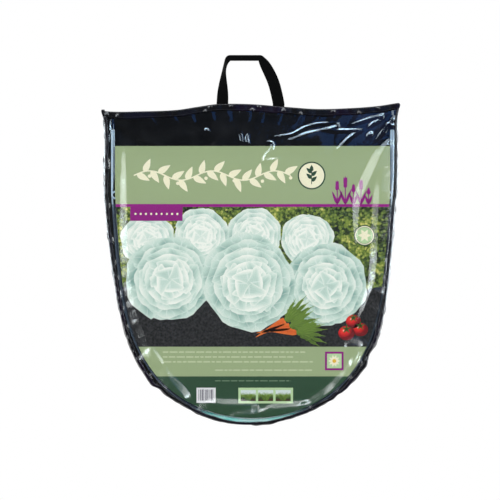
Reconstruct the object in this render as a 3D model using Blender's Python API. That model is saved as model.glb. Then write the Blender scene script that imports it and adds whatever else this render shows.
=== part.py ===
"""A garden row cover tunnel, packed in its carry bag.

The bag is a flat U: a clear vinyl window in front, a black vinyl back, a gusset round the U between
them, bound seams, an open mouth with hems, and a webbing handle sewn to the back hem. In it stand a
printed insert card and the tunnel: six galvanised wire hoops, each in its sewn casing, with the mesh
cover between them folded like a concertina.

Metres, +Z up, the front faces -Y. The origin is under the middle of the handle's grip, in the plane
of its webbing.
"""

import bpy
import bmesh
import math
from mathutils import Vector

mm = 0.001

# Gaps and walls that the whole model shares
touching_gap = 0.3 * mm
vinyl = 0.8 * mm
hem_wall = 0.8 * mm

# The bag, seen from the front: the sides run straight to the shoulder, then taper into the round bottom
bag_half_width = 250.5 * mm
bag_centre_x = 1.2 * mm
mouth_drop = 79.0 * mm
shoulder_below_mouth = 151.5 * mm
bag_height = 546.2 * mm
side_taper_share = 0.115
bag_bottom_power = 3.9
binding_width = 6.0 * mm
bag_side_steps = 16

# The mouth's hems, whose top edge waves as the photograph shows
hem_height = 12.0 * mm
hem_wave = 8.0 * mm
hem_ear = 5.5 * mm
hem_steps = 28
hem_wave_shares = [
    (-1.0, -0.3), (-0.965, -0.94), (-0.72, -0.94), (-0.5, -0.66), (-0.36, 0.0), (-0.22, 0.62),
    (0.0, 0.6), (0.24, 0.0), (0.45, -0.45), (0.68, -0.23), (0.85, 0.2), (1.0, 0.95),
]

# The webbing handle
webbing_width = 20.0 * mm
webbing_thickness = 1.5 * mm
grip_width = 10.0 * mm
grip_thickness = 3.2 * mm
grip_left_x = -36.0 * mm
grip_right_x = 21.5 * mm
left_foot_x = -47.6 * mm
right_foot_x = 49.4 * mm
grip_twist = math.radians(72.0)
twist_front_reach = 3.4 * mm
handle_end_length = 45.0 * mm
hinge_above_hem = 1.0 * mm
hinge_behind_webbing = 0.3 * mm

# The insert card
card_side_gap = 14.0 * mm
card_shift = 3.1 * mm
card_thickness = 0.8 * mm
card_below_mouth = 67.2 * mm
card_bottom_gap = 11.2 * mm
card_bottom_power = 4.3
card_side_steps = 16

# The tunnel's hoops, upside down in the bag with their legs to the mouth
hoop_count = 6
wire_diameter = 3.2 * mm
wire_sides = 6
hoop_side_gap = 7.1 * mm
tunnel_shift = 2.3 * mm
leg_length = 112.5 * mm
eyelet_inner_radius = 4.0 * mm
eyelet_steps = 10
hoop_seat_gap = 0.8 * mm
hoop_side_steps = 12
casing_wall = 0.5 * mm
casing_below_eyelet = 8.8 * mm

# The folded mesh cover
net_thickness = 1.0 * mm
net_fold = 2.2 * mm
end_net_fold = 1.2 * mm
net_top_step = 8.0 * mm
net_sag = 3.0 * mm
net_fold_reach = 30.0 * mm
net_folds = 9
net_rows = 5
net_top_inset_share = 0.1

# Levels along Z and places along X that follow from the sizes
mouth_level = -mouth_drop
shoulder_level = mouth_level - shoulder_below_mouth
bag_bottom_level = mouth_level - bag_height
panel_inset = hem_wall + touching_gap
hem_end = bag_half_width + panel_inset + hem_ear
card_half_width = bag_half_width - card_side_gap
card_centre_x = bag_centre_x + card_shift
card_top_level = mouth_level - card_below_mouth
card_bottom_level = bag_bottom_level + card_bottom_gap
wire_radius = wire_diameter / 2.0
casing_bore = wire_radius + touching_gap
casing_radius = casing_bore + casing_wall
eyelet_radius = eyelet_inner_radius + wire_radius
leg_tip_level = shoulder_level + leg_length
hoop_half_width = bag_half_width - hoop_side_gap - casing_radius
hoop_bottom_level = bag_bottom_level + vinyl + hoop_seat_gap + casing_radius
tunnel_centre_x = bag_centre_x + tunnel_shift
casing_start = eyelet_radius + wire_radius + casing_below_eyelet
net_top_level = shoulder_level - casing_start - net_top_step

# Levels along Y, worked out from the back to the front
seam_thickness = 2.0 * hem_wall + 2.0 * touching_gap + vinyl
coil_shift = wire_diameter + touching_gap
hoop_pitch = coil_shift + wire_diameter + touching_gap
net_room = hoop_pitch / 2.0 + net_thickness / 2.0 + end_net_fold

back_seam_back = -webbing_thickness / 2.0 - touching_gap
back_seam_front = back_seam_back - seam_thickness
back_panel_back = back_seam_back - hem_wall - touching_gap
last_arch_y = back_seam_front - touching_gap - net_room
first_arch_y = last_arch_y - hoop_pitch * (hoop_count - 1)
card_back = first_arch_y - net_room - touching_gap
card_front = card_back - card_thickness
front_seam_back = card_front - touching_gap
window_back = front_seam_back - hem_wall - touching_gap
gusset_back = back_seam_front - touching_gap
gusset_front = front_seam_back + touching_gap


def clear_scene():
    for thing in list(bpy.data.objects):
        bpy.data.objects.remove(thing, do_unlink=True)


def make_material(name, color, roughness, metallic=0.0, alpha=1.0):
    material = bpy.data.materials.new(name)
    material.use_nodes = True
    shader = material.node_tree.nodes["Principled BSDF"]
    shader.inputs["Base Color"].default_value = (*color, 1.0)
    shader.inputs["Roughness"].default_value = roughness
    shader.inputs["Metallic"].default_value = metallic
    shader.inputs["Alpha"].default_value = alpha
    return material


def add_object(name, bm, material, smooth_angle=math.radians(35.0)):
    bmesh.ops.recalc_face_normals(bm, faces=bm.faces)
    mesh = bpy.data.meshes.new(name)
    bm.to_mesh(mesh)
    bm.free()
    mesh.shade_smooth()
    mesh.set_sharp_from_angle(angle=smooth_angle)
    mesh.materials.append(material)
    thing = bpy.data.objects.new(name, mesh)
    bpy.context.scene.collection.objects.link(thing)
    return thing


def smooth_value(knots, place):
    """A smooth curve through hand-chosen knots, read at one place."""
    last = len(knots) - 1
    place = min(max(place, knots[0][0]), knots[last][0])
    index = max(i for i in range(last) if knots[i][0] <= place)
    slopes = []
    for i in (index, index + 1):
        before = knots[max(i - 1, 0)]
        after = knots[min(i + 1, last)]
        slopes.append((after[1] - before[1]) / (after[0] - before[0]))
    (x0, v0), (x1, v1) = knots[index], knots[index + 1]
    span = x1 - x0
    t = (place - x0) / span
    rise = v0 * (1 + 2 * t) * (1 - t) ** 2 + v1 * t * t * (3 - 2 * t)
    return rise + span * (slopes[0] * t * (1 - t) ** 2 - slopes[1] * t * t * (1 - t))


def hem_places():
    """The x of each point of the mouth's top edge."""
    return [bag_centre_x + hem_end * (2 * step / hem_steps - 1) for step in range(hem_steps + 1)]


def hem_level(x):
    """The height of the mouth's top edge at x, on the straight runs between its points."""
    along = ((x - bag_centre_x) / hem_end + 1) / 2 * hem_steps
    step = min(max(math.floor(along), 0), hem_steps - 1)
    levels = [mouth_level + hem_wave * smooth_value(hem_wave_shares, 2 * k / hem_steps - 1)
              for k in (step, step + 1)]
    return levels[0] + (levels[1] - levels[0]) * (along - step)


def u_path(centre_x, half_width, bottom_level, power, steps, left_start, right_start):
    """Points along a U from its left start, round the bottom, to its right start."""
    depth = shoulder_level - bottom_level

    def side(sign, start):
        points = []
        if start > shoulder_level:
            points.append(Vector((centre_x + sign * half_width, 0, start)))
        for step in range(steps):
            angle = math.pi / 2 * step / steps
            down_share = math.sin(angle) ** (2 / power)
            down_share = max(down_share, (shoulder_level - start) / depth)
            out_share = (1 - side_taper_share * down_share) * math.cos(angle)
            x = centre_x + sign * half_width * out_share
            points.append(Vector((x, 0, shoulder_level - depth * down_share)))
        return points

    bottom = Vector((centre_x, 0, bottom_level))
    return side(-1, left_start) + [bottom] + side(1, right_start)[::-1]


def directions(path):
    """The unit direction of travel at each point of a path."""
    last = len(path) - 1
    return [(path[min(i + 1, last)] - path[max(i - 1, 0)]).normalized() for i in range(last + 1)]


def inward(path):
    """For a U path, the unit vector to its inside at each point."""
    return [Vector((-d.z, 0, d.x)) for d in directions(path)]


def sweep(path, across, along_y, profiles):
    """Sweep closed profiles, one for each point of the path, and cap the ends."""
    bm = bmesh.new()
    rings = []
    for point, a, b, profile in zip(path, across, along_y, profiles):
        rings.append([bm.verts.new(point + a * u + b * v) for u, v in profile])
    sides = len(rings[0])
    for first, second in zip(rings, rings[1:]):
        for k in range(sides):
            n = (k + 1) % sides
            bm.faces.new((first[k], first[n], second[n], second[k]))
    bm.faces.new(rings[0][::-1])
    bm.faces.new(rings[-1])
    return bm


def sweep_hollow(path, across, along_y, outer, inner):
    """Sweep a pipe whose outer and inner profiles have as many corners."""
    bm = bmesh.new()
    rings = []
    for point, a, b in zip(path, across, along_y):
        outside = [bm.verts.new(point + a * u + b * v) for u, v in outer]
        inside = [bm.verts.new(point + a * u + b * v) for u, v in inner]
        rings.append((outside, inside))
    sides = len(outer)
    for (out1, in1), (out2, in2) in zip(rings, rings[1:]):
        for k in range(sides):
            n = (k + 1) % sides
            bm.faces.new((out1[k], out1[n], out2[n], out2[k]))
            bm.faces.new((in1[n], in1[k], in2[k], in2[n]))
    for outside, inside in (rings[0], rings[-1]):
        for k in range(sides):
            n = (k + 1) % sides
            bm.faces.new((outside[k], outside[n], inside[n], inside[k]))
    return bm


def plate(outline, y_back, y_front):
    """A flat plate from a closed outline in the XZ plane."""
    bm = bmesh.new()
    back = [bm.verts.new((p.x, y_back, p.z)) for p in outline]
    front = [bm.verts.new((p.x, y_front, p.z)) for p in outline]
    bm.faces.new(back)
    bm.faces.new(front[::-1])
    count = len(outline)
    for k in range(count):
        n = (k + 1) % count
        bm.faces.new((back[k], front[k], front[n], back[n]))
    return bm


def panel_outline():
    """The outline of the window and of the back panel, whose edges go into the seams."""
    ends = [hem_level(bag_centre_x + sign * bag_half_width) - panel_inset for sign in (-1, 1)]
    path = u_path(bag_centre_x, bag_half_width, bag_bottom_level, bag_bottom_power,
                  bag_side_steps, *ends)
    edge = [p + n * panel_inset for p, n in zip(path, inward(path))]
    for corner in (edge[0], edge[-1]):
        corner.z = hem_level(corner.x) - panel_inset
    within = [x for x in hem_places() if edge[0].x < x < edge[-1].x]
    return edge + [Vector((x, 0, hem_level(x) - panel_inset)) for x in reversed(within)]


def make_panel(name, y_back, material):
    return add_object(name, plate(panel_outline(), y_back, y_back - vinyl), material)


def channel_profile(depth, y_back):
    """A channel that opens along its depth, with its back wall's outside at y_back."""
    y_front = y_back - seam_thickness
    return [
        (0, y_back), (depth, y_back), (depth, y_back - hem_wall), (hem_wall, y_back - hem_wall),
        (hem_wall, y_front + hem_wall), (depth, y_front + hem_wall), (depth, y_front), (0, y_front),
    ]


def make_binding(name, y_back, material):
    starts = []
    for sign in (-1, 1):
        end = bag_centre_x + sign * bag_half_width
        starts.append(min(hem_level(end), hem_level(end - sign * binding_width))
                      - hem_height - touching_gap)
    path = u_path(bag_centre_x, bag_half_width, bag_bottom_level, bag_bottom_power,
                  bag_side_steps, *starts)
    along_y = [Vector((0, 1, 0))] * len(path)
    profiles = [channel_profile(binding_width, y_back)] * len(path)
    return add_object(name, sweep(path, inward(path), along_y, profiles), material)


def make_gusset(material):
    ends = [hem_level(bag_centre_x + sign * bag_half_width) - panel_inset for sign in (-1, 1)]
    path = u_path(bag_centre_x, bag_half_width, bag_bottom_level, bag_bottom_power,
                  bag_side_steps, *ends)
    along_y = [Vector((0, 1, 0))] * len(path)
    profile = [(0, gusset_back), (vinyl, gusset_back), (vinyl, gusset_front), (0, gusset_front)]
    bm = sweep(path, inward(path), along_y, [profile] * len(path))
    return add_object("gusset", bm, material)


def make_hem(name, y_back, material):
    """A front or back hem, folded down over the panel's top edge, with ears at its ends."""
    path = [Vector((x, 0, hem_level(x))) for x in hem_places()]
    down = [Vector((0, 0, -1))] * len(path)
    along_y = [Vector((0, 1, 0))] * len(path)
    profiles = [channel_profile(hem_height, y_back)] * len(path)
    return add_object(name, sweep(path, down, along_y, profiles), material)


def make_side_hem(name, sign, material):
    """A hem over the gusset's top edge, between the front and back hems."""
    wall_x = bag_centre_x + sign * bag_half_width
    level = hem_level(wall_x)
    path = [Vector((wall_x, y, level)) for y in (gusset_back, gusset_front)]
    outward = [Vector((sign, 0, 0))] * len(path)
    down = [Vector((0, 0, -1))] * len(path)
    inner = -vinyl - touching_gap
    profile = [
        (panel_inset, 0), (panel_inset, hem_height), (touching_gap, hem_height),
        (touching_gap, hem_wall), (inner, hem_wall), (inner, hem_height),
        (inner - hem_wall, hem_height), (inner - hem_wall, 0),
    ]
    return add_object(name, sweep(path, outward, down, [profile] * len(path)), material)


def hinge_place():
    """The y and z of the line that the handle folds on."""
    hem_top = max(hem_level(left_foot_x), hem_level(right_foot_x))
    return webbing_thickness / 2.0 + hinge_behind_webbing, hem_top + hinge_above_hem


def handle_route():
    """Stations of the handle: place, width share, roll share, from the left foot to the right."""
    foot_z = hinge_place()[1] + touching_gap / 2.0
    grip_z = grip_width / 2.0
    left_bow = left_foot_x - grip_left_x
    right_bow = right_foot_x - grip_right_x
    height = grip_z - foot_z
    left_shares = [
        (1.0, 0.0, 1.0, 0.0), (0.96, 0.15, 1.0, 0.12), (0.92, 0.35, 0.85, 0.4),
        (0.86, 0.55, 0.6, 0.7), (0.74, 0.75, 0.3, 1.0), (0.45, 0.9, 0.1, 0.9), (0.2, 0.97, 0.0, 0.4),
    ]
    right_shares = [
        (0.0, 1.0, 0.0, 0.0), (0.16, 0.96, 0.3, 0.0), (0.32, 0.86, 0.75, 0.0), (0.5, 0.7, 0.95, 0.0),
        (0.74, 0.45, 1.0, 0.0), (0.9, 0.2, 1.0, 0.0), (1.0, 0.0, 1.0, 0.0),
    ]
    route = [(grip_left_x + left_bow * x, foot_z + height * z, w, r) for x, z, w, r in left_shares]
    route.append((grip_left_x, grip_z, 0.0, 0.0))
    route += [(grip_right_x + right_bow * x, foot_z + height * z, w, r)
              for x, z, w, r in right_shares]
    return route


def make_handle_loop(material):
    """The webbing loop: flat at its feet, twisted in its left leg, and folded double at the grip."""
    path, rolls, profiles = [], [], []
    for x, z, width_share, roll_share in handle_route():
        half_width = (grip_width + (webbing_width - grip_width) * width_share) / 2.0
        half_depth = (grip_thickness + (webbing_thickness - grip_thickness) * width_share) / 2.0
        roll = grip_twist * roll_share
        reach = half_width * math.sin(roll) + half_depth * math.cos(roll)
        path.append(Vector((x, max(reach - twist_front_reach, 0), z)))
        rolls.append(roll)
        profiles.append([(half_width, half_depth), (-half_width, half_depth),
                         (-half_width, -half_depth), (half_width, -half_depth)])
    travel = directions(path)
    travel[0] = Vector((0, 0, 1))
    travel[-1] = Vector((0, 0, -1))
    across, through = [], []
    for direction, roll in zip(travel, rolls):
        flat = direction.cross(Vector((0, 1, 0))).normalized()
        face = flat.cross(direction).normalized()
        across.append(flat * math.cos(roll) + face * math.sin(roll))
        through.append(face * math.cos(roll) - flat * math.sin(roll))
    return add_object("handle_loop", sweep(path, across, through, profiles), material)


def make_handle_end(name, foot_x, material):
    """The sewn end of the webbing, flat on the outside of the back hem and panel."""
    top = hinge_place()[1] - touching_gap / 2.0
    half = webbing_width / 2.0
    outline = [Vector((foot_x + x, 0, z)) for x, z in (
        (-half, top), (-half, top - handle_end_length), (half, top - handle_end_length), (half, top))]
    thickness = webbing_thickness / 2.0
    return add_object(name, plate(outline, thickness, -thickness), material)


def make_card(material):
    path = u_path(card_centre_x, card_half_width, card_bottom_level, card_bottom_power,
                  card_side_steps, card_top_level, card_top_level)
    return add_object("insert_card", plate(path, card_back, card_front), material)


def ring(radius, sides):
    """A regular profile that just holds a circle of the radius inside its corners."""
    step = 2 * math.pi / sides
    return [(radius * math.cos(step * k), radius * math.sin(step * k)) for k in range(sides)]


def arch_path(start_drop):
    """The line of the hoop's arch, from below its left eyelet to below its right one."""
    start = shoulder_level - start_drop
    return u_path(tunnel_centre_x, hoop_half_width, hoop_bottom_level, bag_bottom_power,
                  hoop_side_steps, start, start)


def hoop_path(arch_y):
    """A hoop from leg tip to leg tip, with one coil at each eyelet, towards -Y."""
    arch = arch_path(eyelet_radius)
    leg_y = arch_y - coil_shift

    def leg(sign):
        x = tunnel_centre_x + sign * hoop_half_width
        centre_x = x - sign * eyelet_radius
        points = [Vector((x, leg_y, leg_tip_level))]
        for step in range(eyelet_steps + 1):
            angle = 2 * math.pi * step / eyelet_steps
            across_x = centre_x + sign * eyelet_radius * math.cos(angle)
            down_z = shoulder_level - eyelet_radius * math.sin(angle)
            points.append(Vector((across_x, leg_y + coil_shift * step / eyelet_steps, down_z)))
        return points

    middle = [Vector((p.x, arch_y, p.z)) for p in arch]
    return leg(-1) + middle + leg(1)[::-1]


def tube_frames(path):
    travel = directions(path)
    across = [d.cross(Vector((0, 1, 0))).normalized() for d in travel]
    along_y = [a.cross(d).normalized() for a, d in zip(across, travel)]
    return across, along_y


def make_hoop(name, arch_y, material):
    path = hoop_path(arch_y)
    profile = ring(wire_radius, wire_sides)
    return add_object(name, sweep(path, *tube_frames(path), [profile] * len(path)), material)


def make_casing(name, arch_y, material):
    """The sewn channel of mesh that the hoop's arch runs in."""
    path = [Vector((p.x, arch_y, p.z)) for p in arch_path(casing_start)]
    outer = ring(casing_radius, wire_sides)
    inner = ring(casing_bore, wire_sides)
    return add_object(name, sweep_hollow(path, *tube_frames(path), outer, inner), material)


def make_net(name, net_y, fold, material):
    """A folded bay of the mesh cover: a hanging sheet inside the arch, with its main folds."""
    arch = arch_path(casing_start)
    last = len(arch) - 1

    def top_of(point):
        x_share = (point.x - tunnel_centre_x) / hoop_half_width * (1 - net_top_inset_share)
        sag = net_sag * (1 - x_share * x_share)
        return Vector((tunnel_centre_x + hoop_half_width * x_share, 0, net_top_level - sag))

    def fold_at(point, column):
        reach = min((point - q).length for q in arch)
        swell = min(reach / net_fold_reach, 1)
        return fold * swell * math.sin(2 * math.pi * net_folds * column / last)

    bm = bmesh.new()
    layers = []
    for side in (-net_thickness / 2.0, net_thickness / 2.0):
        grid = []
        for row in range(net_rows + 1):
            line = []
            for column, edge in enumerate(arch):
                point = edge.lerp(top_of(edge), row / net_rows)
                y = net_y + side + fold_at(point, column)
                line.append(bm.verts.new((point.x, y, point.z)))
            grid.append(line)
        layers.append(grid)
    for grid in layers:
        for row in range(net_rows):
            for column in range(last):
                bm.faces.new((grid[row][column], grid[row][column + 1],
                              grid[row + 1][column + 1], grid[row + 1][column]))
    rims = []
    for grid in layers:
        rim = list(grid[0])
        rim += [line[last] for line in grid[1:]]
        rim += grid[net_rows][-2::-1]
        rim += [line[0] for line in grid[net_rows - 1:0:-1]]
        rims.append(rim)
    count = len(rims[0])
    for k in range(count):
        n = (k + 1) % count
        bm.faces.new((rims[0][k], rims[0][n], rims[1][n], rims[1][k]))
    return add_object(name, bm, material)


def make_bag():
    black = make_material("black_vinyl", (0.018, 0.018, 0.024), 0.32)
    clear = make_material("clear_vinyl", (0.8, 0.84, 0.88), 0.08, alpha=0.25)
    binding = make_material("seam_binding", (0.02, 0.02, 0.025), 0.5)
    webbing = make_material("webbing_end", (0.012, 0.012, 0.013), 0.8)
    pieces = [
        make_panel("back_panel", back_panel_back, black),
        make_panel("front_window", window_back, clear),
        make_gusset(black),
        make_binding("front_binding", front_seam_back, binding),
        make_binding("back_binding", back_seam_back, binding),
        make_hem("front_hem", front_seam_back, binding),
        make_hem("back_hem", back_seam_back, binding),
        make_side_hem("side_hem_left", -1, binding),
        make_side_hem("side_hem_right", 1, binding),
        make_handle_end("handle_end_left", left_foot_x, webbing),
        make_handle_end("handle_end_right", right_foot_x, webbing),
    ]
    return pieces


def make_tunnel():
    steel = make_material("galvanised_wire", (0.55, 0.57, 0.6), 0.35, 0.9)
    mesh = make_material("micro_mesh", (0.78, 0.85, 0.84), 0.8)
    casing = make_material("mesh_casing", (0.72, 0.8, 0.8), 0.75)
    pieces = []
    for number in range(hoop_count):
        arch_y = first_arch_y + hoop_pitch * number
        pieces.append(make_hoop(f"hoop_{number + 1}", arch_y, steel))
        pieces.append(make_casing(f"casing_{number + 1}", arch_y, casing))
        if number < hoop_count - 1:
            net_y = arch_y + hoop_pitch / 2.0
            pieces.append(make_net(f"cover_bay_{number + 1}", net_y, net_fold, mesh))
    front_y = first_arch_y - hoop_pitch / 2.0
    back_y = last_arch_y + hoop_pitch / 2.0
    pieces.append(make_net("end_net_front", front_y, end_net_fold, mesh))
    pieces.append(make_net("end_net_back", back_y, end_net_fold, mesh))
    return pieces


def make_joint_empty(name, place, pieces):
    """An empty on a joint's axis, which carries the pieces that move with it."""
    empty = bpy.data.objects.new(name, None)
    empty.location = place
    bpy.context.scene.collection.objects.link(empty)
    for piece in pieces:
        piece.parent = empty
        piece.location = -Vector(place)
    return empty


def main():
    clear_scene()
    webbing = make_material("webbing", (0.012, 0.012, 0.013), 0.8)
    printed = make_material("printed_card", (0.32, 0.41, 0.24), 0.4)
    make_handle_loop(webbing)
    hinge_y, hinge_z = hinge_place()
    bag = make_joint_empty("handle_swing_axis", (0, hinge_y, hinge_z), make_bag())
    card = make_card(printed)
    card.parent = bag
    card.location = -bag.location
    for piece in make_tunnel():
        piece.parent = bag
        piece.location = -bag.location


main()
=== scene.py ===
"""The looks of a packed garden row cover tunnel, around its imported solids.

A flat U-shaped carry bag hangs from its webbing handle. Its front is clear vinyl and its back and gusset
are black. In it stand a printed card, six galvanised wire hoops and the folded mesh cover.

Metres, +Z up, the front faces -Y. The origin is under the middle of the handle's grip.
"""

import math
import bpy
import numpy as np
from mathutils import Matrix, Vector


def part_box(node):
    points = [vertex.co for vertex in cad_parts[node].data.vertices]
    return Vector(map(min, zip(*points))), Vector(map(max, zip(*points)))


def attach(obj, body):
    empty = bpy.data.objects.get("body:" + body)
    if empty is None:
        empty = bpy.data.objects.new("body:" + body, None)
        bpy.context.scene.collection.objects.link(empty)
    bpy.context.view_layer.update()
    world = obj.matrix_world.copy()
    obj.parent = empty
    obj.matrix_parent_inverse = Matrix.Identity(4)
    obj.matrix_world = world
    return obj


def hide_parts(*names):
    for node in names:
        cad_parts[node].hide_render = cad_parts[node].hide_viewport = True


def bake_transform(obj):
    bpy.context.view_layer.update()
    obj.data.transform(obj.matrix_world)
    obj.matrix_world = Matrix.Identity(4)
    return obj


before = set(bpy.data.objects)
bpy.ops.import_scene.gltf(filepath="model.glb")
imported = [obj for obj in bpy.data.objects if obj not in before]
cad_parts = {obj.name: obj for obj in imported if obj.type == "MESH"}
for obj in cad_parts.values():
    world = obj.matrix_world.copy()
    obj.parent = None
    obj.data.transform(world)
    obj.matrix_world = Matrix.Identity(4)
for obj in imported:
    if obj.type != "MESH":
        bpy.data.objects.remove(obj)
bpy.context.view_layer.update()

mm = 0.001
degree = math.pi / 180

# The bag's outline, seen from the front: straight sides, a taper below the shoulder, a round bottom
gusset_low, gusset_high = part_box("gusset")
bag_centre_x = (gusset_low.x + gusset_high.x) / 2
bag_half_width = (gusset_high.x - gusset_low.x) / 2
bag_bottom_level = gusset_low.z
mouth_level = -79.0 * mm
shoulder_level = -230.5 * mm
side_taper_share = 0.115
bag_bottom_power = 3.9
panel_inset = 1.1 * mm

# How far the soft outline stands out of the smooth U, by its share of the way from mouth to bottom
left_pucker_shares = [
    (0.0, 4.6), (0.012, 2.2), (0.03, 0.5), (0.06, 0.0), (0.24, 0.6), (0.34, -0.8), (0.44, -3.0), (0.54, -1.8),
    (0.61, 0.0), (0.65, 1.4), (0.69, 2.6), (0.72, 4.4), (0.742, -0.8), (0.77, -0.6), (0.8, -2.2),
    (0.88, -1.2), (0.96, 0.4), (1.0, 0.2),
]
right_pucker_shares = [
    (0.0, 5.0), (0.02, 2.2), (0.05, 1.0), (0.12, 1.4), (0.22, 0.4), (0.24, -1.2), (0.34, -1.4), (0.44, -1.0),
    (0.54, 2.2), (0.605, 4.0), (0.64, 2.4), (0.664, 7.4), (0.676, 6.4), (0.72, 4.6), (0.75, 4.8),
    (0.766, 2.2), (0.782, 3.2), (0.8, 0.6), (0.88, -1.4), (0.96, 0.2), (1.0, 0.2),
]

# The mouth's hems, whose top edge waves, and the seams' binding
hem_height = 12.0 * mm
hem_wave = 8.0 * mm
hem_ear = 5.5 * mm
hem_end = bag_half_width + panel_inset + hem_ear
hem_wave_shares = [
    (-1.0, -0.3), (-0.965, -0.94), (-0.72, -0.94), (-0.5, -0.66), (-0.36, 0.0), (-0.22, 0.62),
    (0.0, 0.6), (0.24, 0.0), (0.45, -0.45), (0.68, -0.23), (0.85, 0.2), (1.0, 0.95),
]
binding_width = 6.0 * mm
vinyl_thickness = 0.8 * mm

# The webbing handle
webbing_width = 20.0 * mm
webbing_thickness = 1.5 * mm
webbing_corner = 0.6 * mm
grip_width = 10.0 * mm
grip_thickness = 3.2 * mm
grip_left_x = -36.0 * mm
grip_right_x = 18.7 * mm
grip_lift = 1.1 * mm
grip_corner = 3.0 * mm
left_foot_x = -47.6 * mm
right_foot_x = 49.4 * mm
grip_twist = 72.0 * degree
twist_front_reach = 3.4 * mm

# The card
card_low, card_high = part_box("insert_card")
card_centre_x = (card_low.x + card_high.x) / 2
card_half_width = 236.5 * mm
card_bottom_power = 4.3
card_front = card_low.y

# The hoops, upside down in the bag, with their casings
hoop_count = 6
wire_radius = 1.6 * mm
tunnel_centre_x = 3.5 * mm
hoop_half_width = 241.0 * mm
hoop_bottom_level = -621.2 * mm
leg_tip_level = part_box("hoop_1")[1].z
eyelet_radius = 5.6 * mm
coil_shift = 3.5 * mm
hoop_pitch = 7.0 * mm
first_arch_y = -44.55 * mm
casing_radius = 2.5 * mm
casing_start = 16.0 * mm
casing_allowance = 5.0 * mm
casing_pressed = 0.3 * mm
casing_clear_and_shaded_level = -604.0 * mm
casing_fade = 8.0 * mm

# The folded mesh: each pleat's length and depth, and how far apart the two layers hang
net_top_level = -254.5 * mm
net_sag = 3.0 * mm
bay_pleat = (6.1 * mm, 1.9 * mm, 1.1 * mm)
end_pleat = (4.8 * mm, 1.15 * mm, 0.45 * mm)


# Curves

def smooth_value(knots, place):
    """A smooth curve through given knots, read at one place."""
    last = len(knots) - 1
    place = min(max(place, knots[0][0]), knots[last][0])
    index = max(i for i in range(last) if knots[i][0] <= place)
    slopes = []
    for i in (index, index + 1):
        before = knots[max(i - 1, 0)]
        after = knots[min(i + 1, last)]
        slopes.append((after[1] - before[1]) / (after[0] - before[0]))
    (x0, v0), (x1, v1) = knots[index], knots[index + 1]
    span = x1 - x0
    t = (place - x0) / span
    rise = v0 * (1 + 2 * t) * (1 - t) ** 2 + v1 * t * t * (3 - 2 * t)
    return rise + span * (slopes[0] * t * (1 - t) ** 2 - slopes[1] * t * t * (1 - t))


def hem_level(x):
    """The height of the mouth's top edge at x."""
    return mouth_level + hem_wave * smooth_value(hem_wave_shares, (x - bag_centre_x) / hem_end)


def ripple(x, z, length, seed):
    """Smooth, even noise from a few plane waves, between about -1 and 1."""
    generator = np.random.default_rng(seed)
    waves = 9
    total = np.zeros(np.broadcast(x, z).shape)
    for wave in range(waves):
        angle = generator.uniform(0, 2 * math.pi)
        stretch = generator.uniform(0.7, 1.5)
        phase = generator.uniform(0, 2 * math.pi)
        turn = 2 * math.pi * stretch / length
        total += np.sin(turn * (np.cos(angle) * x + np.sin(angle) * z) + phase)
    return total / math.sqrt(waves * 2)


def smooth_step(value, low, high):
    share = np.clip((value - low) / (high - low), 0, 1)
    return share * share * (3 - 2 * share)


def arc_places(points):
    """How far along a polyline each of its points is."""
    return np.r_[0, np.cumsum(np.linalg.norm(np.diff(points, axis=0), axis=1))]


def directions(points):
    """The way a line runs at each of its points, one unit long."""
    travel = np.gradient(points, axis=0)
    return travel / np.linalg.norm(travel, axis=1)[:, None]


def turns_of(sides):
    return np.arange(sides) * 2 * math.pi / sides


def resample(points, spacing):
    """Points an even spacing apart along a polyline, with their distances along it."""
    points = np.asarray(points, float)
    lengths = arc_places(points)
    count = max(int(round(lengths[-1] / spacing)), 2)
    places = np.linspace(0, lengths[-1], count + 1)
    return np.stack([np.interp(places, lengths, column) for column in points.T], axis=1), places


def rounded_curve(points, cuts):
    """A line whose corners are cut away a few times."""
    for _ in range(cuts):
        ahead = points[:-1] * 0.75 + points[1:] * 0.25
        behind = points[:-1] * 0.25 + points[1:] * 0.75
        middle = np.stack([ahead, behind], axis=1).reshape(-1, points.shape[1])
        points = np.concatenate([points[:1], middle[1:-1], points[-1:]])
    return points


def u_side(half_width, bottom_level, power, start):
    """One side of a U as x from its centre and z, from its start to the bottom."""
    steps = 500
    depth = shoulder_level - bottom_level
    points = [(half_width, start)] if start > shoulder_level else []
    for step in range(steps + 1):
        angle = math.pi / 2 * (step / steps) ** 2
        down_share = math.sin(angle) ** (2 / power)
        level = shoulder_level - depth * down_share
        if level <= start:
            points.append((half_width * (1 - side_taper_share * down_share) * math.cos(angle), level))
    return points


def u_line(centre_x, half_width, bottom_level, power, starts, spacing):
    """An even line of x and z along a U, its inward normals, and how far along each point is."""
    left = [(centre_x - x, z) for x, z in u_side(half_width, bottom_level, power, starts[0])]
    right = [(centre_x + x, z) for x, z in u_side(half_width, bottom_level, power, starts[1])]
    points, places = resample(left + right[-2::-1], spacing)
    travel = directions(points)
    return points, np.stack([-travel[:, 1], travel[:, 0]], axis=1), places


def pucker(points, places):
    """How far the soft outline stands outwards along the bag's U."""
    middle = places[int(np.argmin(points[:, 1]))]
    last = places[-1]
    out = []
    for place in places:
        if place <= middle:
            out.append(smooth_value(left_pucker_shares, place / middle))
        else:
            out.append(smooth_value(right_pucker_shares, (last - place) / (last - middle)))
    return np.array(out) * mm


def bag_line(spacing, drop=panel_inset):
    """The soft outline of the bag as it hangs, starting a drop below the mouth's top edge."""
    starts = [hem_level(bag_centre_x + sign * bag_half_width) - drop for sign in (-1, 1)]
    points, inward, places = u_line(bag_centre_x, bag_half_width, bag_bottom_level, bag_bottom_power,
                                    starts, spacing)
    return points - inward * pucker(points, places)[:, None], inward, places


def arch_line(drop, spacing):
    """The middle line of a hoop's arch, starting a drop below the shoulder."""
    start = shoulder_level - drop
    return u_line(tunnel_centre_x, hoop_half_width, hoop_bottom_level, bag_bottom_power,
                  (start, start), spacing)


# Meshes

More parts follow.
